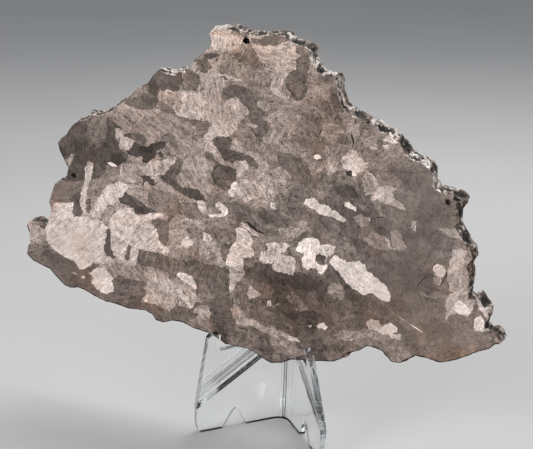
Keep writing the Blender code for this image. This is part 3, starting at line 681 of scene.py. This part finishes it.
def slice_place():
    """Where the CAD has the middle between the seats: its box's low corner less that of the same rim here."""
    corners = []
    for row in range(RIM_ROWS + 1):
        depth = row / RIM_ROWS
        spots = [rim_point(p, n, depth, PITS_OF_RIM) for p, n in zip(FRONT, FRONT_NORMALS)]
        corners += [in_space(spot, SLICE_THICKNESS * depth) for spot in spots]
    low = Vector([min(c[k] for c in corners) for k in range(3)])
    return Vector(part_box("meteorite_slice")[0]) - low


PLACE = slice_place()


def wiggled(pixel, wide, fine):
    """A pixel moved a little, so that straight sides turn into natural ones."""
    spot = Vector((pixel.x, pixel.y, 0.3))
    slow = drift(spot / SLOW_WAVE_PX) * wide
    quick = drift(spot / QUICK_WAVE_PX) * fine
    crisp = drift(spot / CRISP_WAVE_PX) * fine * CRISP_SHARE
    return pixel + slow + quick + crisp


def clipped(polygon, middle, normal):
    """The part of a convex polygon on the near side of a line."""
    out = []
    for a, b in zip(polygon, polygon[1:] + polygon[:1]):
        da, db = (a - middle).dot(normal), (b - middle).dot(normal)
        if da <= 0:
            out.append(a)
        if (da < 0 < db) or (db < 0 < da):
            out.append(a.lerp(b, da / (da - db)))
    return out


def scattered_cells(spacing, seed_number, share):
    """Random grains, drawn out along the slice's grain: the cells around scattered seeds, in pixels."""
    dice = random.Random(seed_number)
    c, sn = math.cos(GRAIN_TURN), math.sin(GRAIN_TURN)
    long_way, short_way = Vector((c, sn)) * GRAIN_STRETCH, Vector((-sn, c)) / GRAIN_STRETCH
    (left, right), (top, bottom) = FIELD_PX

    def drawn_out(spot):
        """A point of the even field as a pixel."""
        return Vector(FIELD_MIDDLE_PX) + long_way * spot.x + short_way * spot.y

    seeds = []
    reach = int(FIELD_REACH_PX / spacing)
    for column in range(-reach, reach + 1):
        for row in range(-reach, reach + 1):
            u = (column + dice.uniform(-SEED_JITTER, SEED_JITTER)) * spacing
            v = (row + dice.uniform(-SEED_JITTER, SEED_JITTER)) * spacing
            spot = drawn_out(Vector((u, v)))
            if dice.random() < share and left < spot.x < right and top < spot.y < bottom:
                seeds.append(Vector((u, v)))
    tree = kdtree.KDTree(len(seeds))
    for number, seed in enumerate(seeds):
        tree.insert((seed.x, seed.y, 0), number)
    tree.balance()
    half = CELL_REACH * spacing
    cells = []
    for seed in seeds:
        cell = [seed + Vector((x * half, y * half)) for x, y in ((-1, -1), (1, -1), (1, 1), (-1, 1))]
        for _, number, _ in tree.find_n((seed.x, seed.y, 0), CELL_NEIGHBOURS + 1)[1:]:
            other = seeds[number]
            cell = clipped(cell, (seed + other) / 2, (other - seed).normalized())
        if len(cell) > 2:
            cells.append((drawn_out(seed), [drawn_out(q) for q in cell]))
    return cells


def ground_tone(spot):
    """Brightness and warmth of the ground at a pixel, blended from the soft regions."""
    total = tone = warm = 0.0
    for (x, y), t, w in GROUND:
        weight = 1.0 / ((spot.x - x) ** 2 + (spot.y - y) ** 2 + GROUND_SOFTNESS) ** GROUND_FALL
        total += weight
        tone += weight * t
        warm += weight * w
    return tone / total, warm / total


def calmness(point):
    """How much of the mottling a point of the face keeps, less in the calm parts."""
    kept = 1.0
    for middle, (wide, high) in CALM:
        off = (point - face_point(middle)) / PIXEL_SIZE
        kept *= 1 - CALM_SHARE * math.exp(-SOFT_FALL * ((off.x / wide) ** 2 + (off.y / high) ** 2))
    return kept


def ring(middle, radius, ragged=0.0):
    """A pit's edge in pixels, round or ragged."""
    edge = []
    for k in range(RING_CORNERS):
        turn = 2 * math.pi * k / RING_CORNERS
        way = Vector((math.cos(turn), math.sin(turn)))
        swell = noise.noise(Vector((way.x * RING_CHANGE, way.y * RING_CHANGE, middle[0])))
        edge.append(Vector(middle) + way * radius * (1 + ragged * swell))
    return edge


def ribbon(width, *line):
    """A thin pointed strip along a line."""
    points = [Vector(p) for p in line]
    if len(points) == 2:
        points.insert(1, (points[0] + points[1]) / 2)
    left, right = [], []
    for k, p in enumerate(points[1:-1], 1):
        run = (points[k + 1] - points[k - 1]).normalized()
        side = Vector((-run.y, run.x)) * width / 2
        left.append(p + side)
        right.append(p - side)
    return [points[0]] + left + [points[-1]] + right[::-1]


def boundary_lines(shape, dice):
    """Thin strips along a few random stretches of a grain's edge."""
    strips = []
    for _ in range(dice.choice(LINES_PER_GRAIN)):
        start = dice.randrange(len(shape))
        count = min(len(shape) - 2, dice.randint(*LINE_CORNERS))
        line = [shape[(start + k) % len(shape)] for k in range(count)]
        if count > 3:
            strips.append(ribbon(dice.uniform(*LINE_WIDTHS_PX), *line))
    return strips


def shaded_lower_edge():
    """A thin dark strip of painted shade along the face's lower edge, where the rim turns down out of the
    light.
    """
    edge = resampled(FRONT, EDGE_STEP)
    runs = [[]]
    for k, (point, normal) in enumerate(zip(edge, outward(edge, reach=2))):
        if normal.y >= SHADED_EDGE_FACING:
            runs.append([])
            continue
        swell = abs(noise.noise(Vector((k / SHADED_EDGE_CHANGE, 2.2, 0))))
        width = (SHADED_EDGE_LEAST + SHADED_EDGE_MORE * swell) * MM
        runs[-1].append((point + normal * SHADED_EDGE_OVERHANG * MM, point - normal * width))
    return [[p for p, _ in run] + [q for _, q in run[::-1]] for run in runs if len(run) > 3]


def covers(shape, box, point):
    """Whether a shape, with its box, has a point inside."""
    if not (box[0] < point.x < box[1] and box[2] < point.y < box[3]):
        return False
    inside = False
    for a, b in zip(shape, shape[1:] + shape[:1]):
        if (a.y > point.y) != (b.y > point.y):
            if point.x < a.x + (b.x - a.x) * (point.y - a.y) / (b.y - a.y):
                inside = not inside
    return inside


def laid_shapes():
    """The face's shapes in millimetres as they are laid, their looks or shades, and how many are opaque."""
    dice = random.Random(FACE_SEED)
    shapes, looks = [], []

    def lay(points, look):
        """Lay a shape over the earlier ones."""
        shapes.append([p / MM for p in points])
        looks.append(look)

    def add(pixels, look):
        """Lay a shape that is given in pixels."""
        lay([face_point(p) for p in pixels], look)

    edge = resampled(FRONT, EDGE_STEP)
    lay([p + drift(Vector((p.x, p.y, 0)) / RAGGED_SIZE) * RAGGED_DEPTH * MM for p in edge], PLAIN_LOOK)
    for seed, cell in scattered_cells(GROUND_SPACING_PX, GROUND_SEED, GROUND_SHARE):
        tone, warm = ground_tone(seed)
        change = dice.uniform(-GROUND_CHANGE, GROUND_CHANGE) * calmness(face_point(seed))
        look = (tone + change, warm, dice.random())
        add([wiggled(p, *GROUND_WIGGLE) for p in resampled(cell, GROUND_STEP_PX)], look)
    lines = []
    for tone, warm, *corners in GRAINS:
        outline = resampled([Vector(c) for c in corners], GRAIN_STEP_PX)
        shape = [wiggled(p, *GRAIN_WIGGLE) for p in outline]
        add(shape, (tone, warm, dice.random()))
        lines += [(strip, tone + dice.choice(LINE_CONTRASTS)) for strip in boundary_lines(shape, dice)]
    for strip, tone in lines:
        add(strip, (within(tone, LINE_TONES), *PLAIN_LOOK[1:]))
    for width, tone, *line in SCRATCHES:
        add(ribbon(width, *line), (tone, *PLAIN_LOOK[1:]))
    for width, *line in CRACKS:
        add(ribbon(width, *line), CRACK_LOOK)
    # Painted shade along the face's lower edge, where the rim turns down
    for strip in shaded_lower_edge():
        lay(strip, SHADED_EDGE_LOOK)
    for middle, radius, _, tone in PITS_PX:
        for share in PIT_RINGS:
            add(ring(middle, radius * share, PIT_RAGGED), (tone, 0.5, 0.5))
    add(ring(*HOLE_PX), "hole")
    opaque = len(shapes)
    for seed, cell in scattered_cells(PATCH_SPACING_PX, PATCH_SEED, PATCH_SHARE):
        shade = dice.gauss(0.0, PATCH_CHANGE) * calmness(face_point(seed))
        add([wiggled(p, *PATCH_WIGGLE) for p in resampled(cell, PATCH_STEP_PX)], shade)
    return shapes, looks, opaque


def mosaic():
    """The face as flat triangles: points in metres, and the triangles with their grain's look and shade."""
    shapes, looks, opaque = laid_shapes()
    points, faces, boxes = [], [], []
    for shape in shapes:
        faces.append(list(range(len(points), len(points) + len(shape))))
        points += shape if turning(shape) > 0 else shape[::-1]
        xs, ys = [p.x for p in shape], [p.y for p in shape]
        boxes.append((min(xs), max(xs), min(ys), max(ys)))
    flat, _, triangles, _, _, owners = geometry.delaunay_2d_cdt(points, [], faces, 1, JOIN_MM, True)
    kept = []
    for corners, inside in zip(triangles, owners):
        if 0 not in inside:
            continue
        middle = sum((flat[v] for v in corners), Vector((0, 0))) / 3
        there = [n for n in sorted(inside, reverse=True) if n == 0 or covers(shapes[n], boxes[n], middle)]
        look = looks[next(n for n in there if n < opaque)]
        if look != "hole":
            shade = sum(looks[n] for n in there if n >= opaque)
            kept.append((corners, look, within(shade, (-MOST_SHADE, MOST_SHADE))))
    return [p * MM for p in flat], kept


def colour_of(tone, warm):
    """Linear colour of etched iron for a brightness, browner where it is warm."""
    level = max(DARKEST, tone) ** DISPLAY_POWER
    bright = within((tone - BRIGHT_FROM) / BRIGHT_SPAN, (0.0, 1.0))
    tint = Vector(DARK_IRON).lerp(Vector(BRIGHT_IRON), bright)
    return tint.lerp(Vector(WARM_IRON), warm * WARM_SHARE) * level


def pit_depth(spot):
    """How deep the front face is sunk at a point."""
    for middle, radius, depth, _ in PITS_PX:
        away = (face_point(middle) - spot).length / (radius * PIXEL_SIZE)
        if away < PIT_SHARE:
            return depth * math.sqrt(1 - away * away)
    return 0.0


def washes_at():
    """A function that gives the soft washes' gain and warmth at a point of the face: the warmth is stain, the
    gain is partly painted shade.
    """
    spots = []
    for middle, (wide, high), turn, gain, warm in WASHES:
        lean = math.radians(turn)
        halves = (wide * PIXEL_SIZE, high * PIXEL_SIZE)
        spots.append((face_point(middle), halves, math.cos(lean), math.sin(lean), gain, warm))

    def at(point):
        """Gain and warmth at a point."""
        total, heat = 1.0, 0.0
        ragged = drift(Vector((point.x, point.y, 0)) / WASH_RAGGED_SIZE) * WASH_RAGGED * MM
        for middle, (wide, high), c, sn, gain, warm in spots:
            off = point + ragged - middle
            reach = ((off.x * c + off.y * sn) / wide) ** 2 + ((off.y * c - off.x * sn) / high) ** 2
            share = math.exp(-SOFT_FALL * reach)
            total *= 1 + (gain - 1) * share
            heat += warm * share
        return total, heat

    return at


def loops_of(triangles):
    """The closed boundary loops of the triangles, in their winding's order, the longest first."""
    ahead = {}
    sides = {(t[k], t[(k + 1) % 3]) for t in triangles for k in range(3)}
    for a, b in sides:
        if (b, a) not in sides:
            ahead[a] = b
    loops = []
    while ahead:
        start, spot = next(iter(ahead.items()))
        del ahead[start]
        loop = [start]
        while spot != start:
            loop.append(spot)
            spot = ahead.pop(spot)
        loops.append(loop)
    return sorted(loops, key=len, reverse=True)


def crust_shift(flat, depth):
    """The fine lumps, grit and flat chips of the crust, as a height off the rim."""
    spot = Vector((flat.x, flat.y, depth * SLICE_THICKNESS)) / MM
    coarse = noise.noise(spot / CRUST_COARSE[1])
    fine = noise.noise(spot / CRUST_FINE[1] + Vector((5, 3, 1)))
    chips = noise.cell(spot / CRUST_CHIPS[1] + Vector((0.5, 0.5, 0.5)) * coarse)
    grit = noise.noise(spot / CRUST_GRIT[1] + Vector((2, 7, 4)))
    lumps = CRUST_COARSE[0] * coarse + CRUST_FINE[0] * fine
    return (lumps + CRUST_GRIT[0] * grit + CRUST_CHIPS[0] * (chips - 0.5)) * MM


def lay_points(bm, spots, kept):
    """The points of both faces, with their washes of stain and painted shade: the front's and the back's, by
    their number.
    """
    stains_and_shade = bm.verts.layers.float_vector["stain_and_shade"]
    stain_and_shade_at = washes_at()
    front, back = {}, {}
    for v in sorted({v for corners, _, _ in kept for v in corners}):
        gain, heat = stain_and_shade_at(spots[v])
        front[v] = bm.verts.new(PLACE + in_space(spots[v], pit_depth(spots[v])))
        # The front's gain is partly painted shade; the back's gain stays 1
        front[v][stains_and_shade] = Vector((gain, heat, calmness(spots[v])))
        far = rim_point(spots[v], Vector((0, 0)), 1.0, ())
        back[v] = bm.verts.new(PLACE + in_space(far, SLICE_THICKNESS))
        back[v][stains_and_shade] = Vector((1.0, BACK_WARMTH * heat, 1.0))
    return front, back


def lay_grains(bm, front, back, kept):
    """The triangles of both faces; a grain runs through to the back, where it has another tone."""
    colours = bm.faces.layers.float_vector["grain_colour_and_sheen"]
    traits = bm.faces.layers.float_vector["grain_trait"]
    dice = random.Random(BACK_SEED)
    changed = {}
    for corners, look, shade in kept:
        tone, warm, chance = look
        turn = math.pi * (chance * STREAK_TURNS % 1.0)
        if look not in changed:
            changed[look] = within(tone + dice.uniform(-BACK_CHANGE, BACK_CHANGE), BACK_TONES)
        face = bm.faces.new([front[v] for v in corners[::-1]])
        # The grain's colour is partly its etched tone and partly painted sheen
        face[colours] = colour_of(tone + shade, warm)
        face[traits] = Vector((turn, chance, tone))
        face = bm.faces.new([back[v] for v in corners])
        face[colours] = colour_of(changed[look] - shade, warm)
        face[traits] = Vector((turn, chance, changed[look]))


def lay_rim(bm, spots, front, back, loop, is_hole):
    """The wall between the two faces along a loop of their edge, with the crust's relief outside a hole."""
    relief_and_shade = bm.verts.layers.float["crust_height_and_shade"]
    line_spots = [spots[v] for v in loop]
    side = 1 if turning(line_spots) < 0 else -1
    normals = [n * side for n in outward(line_spots, reach=3)]
    if is_hole:
        normals = [Vector((0, 0))] * len(loop)
    rows = [[front[v] for v in loop]]
    for row in range(1, FINE_ROWS):
        depth = row / FINE_ROWS
        line = []
        for spot, n in zip(line_spots, normals):
            flat = rim_point(spot, n, depth, PITS_OF_RIM)
            height = crust_shift(flat, depth) * math.sin(math.pi * depth) ** 0.5
            vert = bm.verts.new(PLACE + in_space(flat + n * height, SLICE_THICKNESS * depth))
            sunk = (flat - rim_point(spot, n, depth, ())).length
            # The stored height is lowered in the rim's pits, which the crust's colour darkens as painted
            # shade
            vert[relief_and_shade] = (height - RIM_PIT_SHADE * sunk) / MM
            line.append(vert)
        rows.append(line)
    rows.append([back[v] for v in loop])
    for near, far in zip(rows, rows[1:]):
        for k in range(len(loop)):
            face = bm.faces.new((near[k - 1], near[k], far[k], far[k - 1]))
            face.material_index = 1


def slice_piece():
    """The slice: grain mosaics on both faces and a rough crust round the rim."""
    spots, kept = mosaic()
    bm = bmesh.new()
    for name in ("grain_colour_and_sheen", "grain_trait"):
        bm.faces.layers.float_vector.new(name)
    bm.verts.layers.float_vector.new("stain_and_shade")
    bm.verts.layers.float.new("crust_height_and_shade")
    front, back = lay_points(bm, spots, kept)
    lay_grains(bm, front, back, kept)
    for number, loop in enumerate(loops_of([corners for corners, _, _ in kept])):
        lay_rim(bm, spots, front, back, loop, number > 0)
    bmesh.ops.recalc_face_normals(bm, faces=bm.faces)
    mesh = bpy.data.meshes.new("iron_slice")
    bm.to_mesh(mesh)
    bm.free()
    piece = bpy.data.objects.new("iron_slice", mesh)
    bpy.context.scene.collection.objects.link(piece)
    mesh.materials.append(iron_material())
    mesh.materials.append(crust_material())
    return piece


class Nodes:
    """Short calls for a material's node tree."""

    def __init__(self, name, **uniform):
        """A material; uniform values go to the shader's own sockets, with _ for a space in the name."""
        self.material = bpy.data.materials.new(name)
        self.material.use_nodes = True
        self.tree = self.material.node_tree
        self.shader = self.tree.nodes["Principled BSDF"]
        self.place = self.add("ShaderNodeTexCoord").outputs["Object"]
        for key, value in uniform.items():
            self.shader.inputs[key.replace("_", " ")].default_value = value

    def add(self, kind, **values):
        """A node of a kind; values are its own settings."""
        node = self.tree.nodes.new(kind)
        for key, value in values.items():
            setattr(node, key, value)
        return node

    def link(self, source, target):
        """A link between two sockets."""
        self.tree.links.new(source, target)

    def attribute(self, name, output="Vector"):
        """A value that the mesh carries."""
        return self.add("ShaderNodeAttribute", attribute_name=name).outputs[output]

    def parts(self, vector):
        """The three numbers of a vector."""
        node = self.add("ShaderNodeSeparateXYZ")
        self.link(vector, node.inputs[0])
        return node.outputs

    def math(self, operation, a, b=None, clamp=False):
        """A Math node's output, from sockets or numbers."""
        node = self.add("ShaderNodeMath", operation=operation, use_clamp=clamp)
        for slot, value in enumerate((a, b)):
            if value is None:
                continue
            if isinstance(value, (int, float)):
                node.inputs[slot].default_value = value
            else:
                self.link(value, node.inputs[slot])
        return node.outputs[0]

    def product(self, a, b):
        """Two values multiplied."""
        return self.math("MULTIPLY", a, b)

    def total(self, first, *others):
        """Values added in their order."""
        for other in others:
            first = self.math("ADD", first, other)
        return first

    def swing(self, value, gain, middle=0.5):
        """How far a value is from its middle, times a gain."""
        return self.product(self.math("SUBTRACT", value, middle), gain)

    def fixed_vector(self, operation, vector, fixed, output="Vector"):
        """A Vector Math node's output, from a socket and a fixed vector."""
        node = self.add("ShaderNodeVectorMath", operation=operation)
        self.link(vector, node.inputs[0])
        node.inputs[1].default_value = fixed
        return node.outputs[output]

    def noise(self, scale, detail, roughness, vector=None):
        """A Noise texture's value; the scale is in waves for each metre of the object."""
        node = self.add("ShaderNodeTexNoise")
        node.inputs["Scale"].default_value = scale
        node.inputs["Detail"].default_value = detail
        node.inputs["Roughness"].default_value = roughness
        self.link(self.place if vector is None else vector, node.inputs["Vector"])
        return node.outputs["Fac"]

    def ramp(self, value, *stops):
        """A Color Ramp's colour; each stop has a place and a colour or a grey level."""
        node = self.add("ShaderNodeValToRGB")
        while len(node.color_ramp.elements) < len(stops):
            node.color_ramp.elements.new(0.5)
        for element, (place, colour) in zip(node.color_ramp.elements, stops):
            element.position = place
            element.color = (*colour, 1.0) if isinstance(colour, tuple) else (colour, colour, colour, 1.0)
        self.link(value, node.inputs["Fac"])
        return node.outputs["Color"]

    def mix(self, factor, a, b, blend="MIX"):
        """A colour Mix node's output."""
        node = self.add("ShaderNodeMix", data_type="RGBA", blend_type=blend)
        for socket, value in ((node.inputs[0], factor), (node.inputs[6], a), (node.inputs[7], b)):
            if isinstance(value, (int, float)):
                socket.default_value = value
            elif isinstance(value, tuple):
                socket.default_value = (*value, 1.0)
            else:
                self.link(value, socket)
        return node.outputs[2]

    def bump(self, height, strength, distance):
        """Relief on the shader; the distance is that of a height of 1."""
        node = self.add("ShaderNodeBump")
        node.inputs["Strength"].default_value = strength
        node.inputs["Distance"].default_value = distance
        self.link(height, node.inputs["Height"])
        self.link(node.outputs[0], self.shader.inputs["Normal"])


def iron_material():
    """Etched iron: one colour for each grain, partly its etched tone and partly painted sheen, with mottling,
    fine lines and specks.
    """
    n = Nodes("etched_iron", Metallic=0.8)
    angle, _, tone = n.parts(n.attribute("grain_trait"))
    wash_gain, wash_warmth, calm = n.parts(n.attribute("stain_and_shade"))
    turn = n.add("ShaderNodeVectorRotate", rotation_type="Y_AXIS")
    n.link(n.place, turn.inputs["Vector"])
    n.link(angle, turn.inputs["Angle"])
    stretch = n.add("ShaderNodeMapping")
    stretch.inputs["Scale"].default_value = (1.0, 1.0, STREAK_STRETCH)
    n.link(turn.outputs[0], stretch.inputs["Vector"])
    mottle = n.noise(420.0, 4.0, 0.65)
    cloud = n.noise(90.0, 2.0, 0.5)
    streak = n.noise(900.0, 2.0, 0.55, stretch.outputs[0])
    speck = n.noise(1500.0, 1.0, 0.5)
    texture = n.total(n.swing(mottle, MOTTLE_GAIN), n.swing(streak, STREAK_GAIN),
                      n.swing(cloud, CLOUD_GAIN), n.swing(speck, SPECK_GAIN))
    off = n.math("SUBTRACT", tone, LIVELY_TONE)
    lively = n.math("SUBTRACT", LIVELY_MOST, n.product(n.product(off, off), LIVELY_FALL))
    texture = n.product(n.product(texture, n.math("MAXIMUM", lively, LIVELY_LEAST)), calm)
    dots = n.ramp(n.noise(1400.0, 1.5, 0.5), (0.29, 0.6), (0.38, 1.0))
    # The washes' gain carries painted shade as well as stain
    gain = n.product(n.product(n.math("ADD", texture, 1.0), wash_gain), dots)
    scaled = n.add("ShaderNodeVectorMath", operation="SCALE")
    n.link(n.attribute("grain_colour_and_sheen", "Color"), scaled.inputs[0])
    n.link(gain, scaled.inputs["Scale"])
    stain = n.product(n.ramp(n.noise(38.0, 3.0, 0.6), (0.52, 0.0), (0.72, 1.0)), 0.6)
    stain = n.math("ADD", stain, wash_warmth, clamp=True)
    stained = n.mix(1.0, scaled.outputs[0], STAIN_TINT, "MULTIPLY")
    n.link(n.mix(stain, scaled.outputs[0], stained), n.shader.inputs["Base Color"])
    n.link(n.math("ADD", 0.34, n.product(mottle, 0.22)), n.shader.inputs["Roughness"])
    n.bump(texture, 0.12, 0.3 * MM)
    return n.material


def crust_material():
    """The rim: dark brown crust, with bare bright iron on its high spots, rust in places, and painted shade
    in its low spots and pits.
    """
    n = Nodes("rough_crust")
    height = n.attribute("crust_height_and_shade", "Fac")
    patches = n.swing(n.noise(480.0, 5.0, 0.7), 2.4)
    stretches = n.swing(n.noise(60.0, 2.0, 0.5), 1.1, 0.42)
    raised = n.total(n.product(height, 0.6), patches, stretches)
    bare = n.ramp(raised, (0.0, 0.0), (0.28, 1.0))
    dark = n.ramp(n.noise(520.0, 3.0, 0.6), *CRUST_DARKS)
    rust = n.ramp(n.noise(70.0, 2.0, 0.5), (0.60, 0.0), (0.74, 1.0))
    # Painted shade: the crust's low spots and the rim's pits are darkened
    hollow_shade = n.ramp(n.math("ADD", height, 0.5), (0.05, 0.12), (0.55, 1.0))
    dull = n.mix(1.0, n.mix(rust, dark, RUST_COLOUR), hollow_shade, "MULTIPLY")
    n.link(n.mix(bare, dull, BARE_COLOUR), n.shader.inputs["Base Color"])
    n.link(n.product(bare, 0.75), n.shader.inputs["Metallic"])
    n.link(n.math("SUBTRACT", 0.72, n.product(bare, 0.26)), n.shader.inputs["Roughness"])
    n.bump(n.noise(750.0, 4.0, 0.65), 0.9, 0.7 * MM)
    return n.material


def fold_lines(n, point, across, side):
    """Fine draw lines along a fold: their height, none off the fold or on its other side of the stand."""
    off = n.fixed_vector("SUBTRACT", n.place, point)
    distance = n.fixed_vector("DOT_PRODUCT", off, across, "Value")
    lines = n.add("ShaderNodeTexNoise", noise_dimensions="1D")
    lines.inputs["Scale"].default_value = FOLD_LINES_PER_METRE
    lines.inputs["Detail"].default_value = 2.0
    n.link(distance, lines.inputs["W"])
    shifted = n.math("ADD", distance, FOLD_SHIFT if side else 0.0)
    away = n.math("DIVIDE", n.math("ABSOLUTE", shifted), FOLD_REACH)
    fade = n.math("SUBTRACT", 1.0, away, clamp=True)
    squared = n.math("POWER", n.math("DIVIDE", distance, FOLD_CORE), 2.0)
    groove = n.math("DIVIDE", 1.0, n.math("ADD", 1.0, squared))
    height = n.product(lines.outputs["Fac"], n.math("SQRT", fade))
    height = n.math("ADD", height, n.product(groove, FOLD_GROOVE))
    if side:
        beyond = n.product(n.math("SUBTRACT", n.parts(n.place)[0], STAND_MIDDLE_X), side)
        height = n.product(height, n.math("GREATER_THAN", beyond, 0.0))
    return height


def acrylic_material():
    """Clear acrylic with a faint cool tint in its depth, and draw lines along its folds."""
    n = Nodes("clear_acrylic", Base_Color=(0.97, 0.98, 0.985, 1), Roughness=0.015, IOR=1.49,
              Transmission_Weight=1.0)
    folds = [fold_lines(n, (STAND_MIDDLE_X, 0, 0), (1, 0, 0), 0)]
    for side in (-1, 1):
        point = (STAND_MIDDLE_X + side * EAR_POINT[0], *EAR_POINT[1:])
        folds.append(fold_lines(n, point, (-side * EAR_ACROSS[0], *EAR_ACROSS[1:]), side))
    n.bump(n.total(*folds), 1.0, FOLD_RELIEF)
    depth = n.add("ShaderNodeVolumeAbsorption")
    depth.inputs["Color"].default_value = (0.72, 0.80, 0.82, 1)
    depth.inputs["Density"].default_value = 14.0
    n.link(depth.outputs[0], n.tree.nodes["Material Output"].inputs["Volume"])
    return n.material


def stand_piece():
    """The bent sheet, with its cut edges softened."""
    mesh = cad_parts["acrylic_stand"].data.copy()
    mesh.name = "bent_sheet"
    bm = bmesh.new()
    bm.from_mesh(mesh)
    bmesh.ops.remove_doubles(bm, verts=bm.verts, dist=0.01 * MM)
    bmesh.ops.dissolve_limit(bm, angle_limit=math.radians(1.0), verts=bm.verts, edges=bm.edges)
    for face in bm.faces:
        face.smooth = True
    bm.to_mesh(mesh)
    bm.free()
    mesh.materials.clear()
    mesh.materials.append(acrylic_material())
    piece = bpy.data.objects.new("bent_sheet", mesh)
    bpy.context.scene.collection.objects.link(piece)
    bevel = piece.modifiers.new("soft_edges", "BEVEL")
    bevel.width = EDGE_SOFTENING
    bevel.segments = 3
    bevel.limit_method = "ANGLE"
    bevel.angle_limit = CUT_EDGE_ANGLE
    bevel.harden_normals = True
    mesh.set_sharp_from_angle(angle=CUT_EDGE_ANGLE)
    return piece


def floor_piece():
    """A wide plain pale floor."""
    bpy.ops.mesh.primitive_plane_add(size=14)
    floor = bpy.context.object
    floor.name = "floor"
    n = Nodes("pale_floor", Roughness=0.55)
    shade = n.ramp(n.noise(3.0, 2.0, 0.5), (0.3, (0.47, 0.466, 0.458)), (0.7, (0.50, 0.495, 0.487)))
    n.link(shade, n.shader.inputs["Base Color"])
    floor.data.materials.append(n.material)


def area_light(name, place, size, energy):
    """A soft square light that faces the slice."""
    data = bpy.data.lights.new(name, "AREA")
    data.shape = "SQUARE"
    data.size = size
    data.energy = energy
    lamp = bpy.data.objects.new(name, data)
    lamp.location = place
    lamp.rotation_euler = (Vector(LIT_POINT) - Vector(place)).to_track_quat("-Z", "Y").to_euler()
    bpy.context.scene.collection.objects.link(lamp)


def lighting():
    """A pale surround and three soft lights."""
    world = bpy.data.worlds.new("studio")
    world.use_nodes = True
    surround = world.node_tree.nodes["Background"]
    surround.inputs["Color"].default_value = (0.92, 0.95, 1.0, 1)
    surround.inputs["Strength"].default_value = 0.36
    bpy.context.scene.world = world
    area_light("key", (-0.7, -1.3, 0.7), 0.8, 15.6)
    area_light("fill", (1.3, -0.9, 0.5), 0.9, 9)
    area_light("top", (0.1, 0.45, 1.1), 0.7, 11)


def camera():
    """The photograph's viewpoint: it sees the slice's outline as the photograph does."""
    data = bpy.data.cameras.new("camera")
    data.sensor_width = SENSOR_MM
    data.lens = SENSOR_MM * VIEW_FOCAL_PX / IMAGE_WIDTH_PX
    eye = bpy.data.objects.new("camera", data)
    aim = PLACE - (ALONG * SEAT_MIDDLE.x + RISE * SEAT_MIDDLE.y) * VIEW_DISTANCE
    turned = Matrix((RIGHT, UP, -FORWARD)).transposed().to_4x4()
    eye.matrix_world = Matrix.Translation(aim - FORWARD * VIEW_DISTANCE) @ turned
    bpy.context.scene.collection.objects.link(eye)
    bpy.context.scene.camera = eye


camera()
iron = slice_piece()
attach(iron, "root")
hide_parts("meteorite_slice")
sheet = stand_piece()
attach(sheet, "root")
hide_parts("acrylic_stand")
floor_piece()
lighting()
bpy.context.scene.view_settings.view_transform = "Standard"
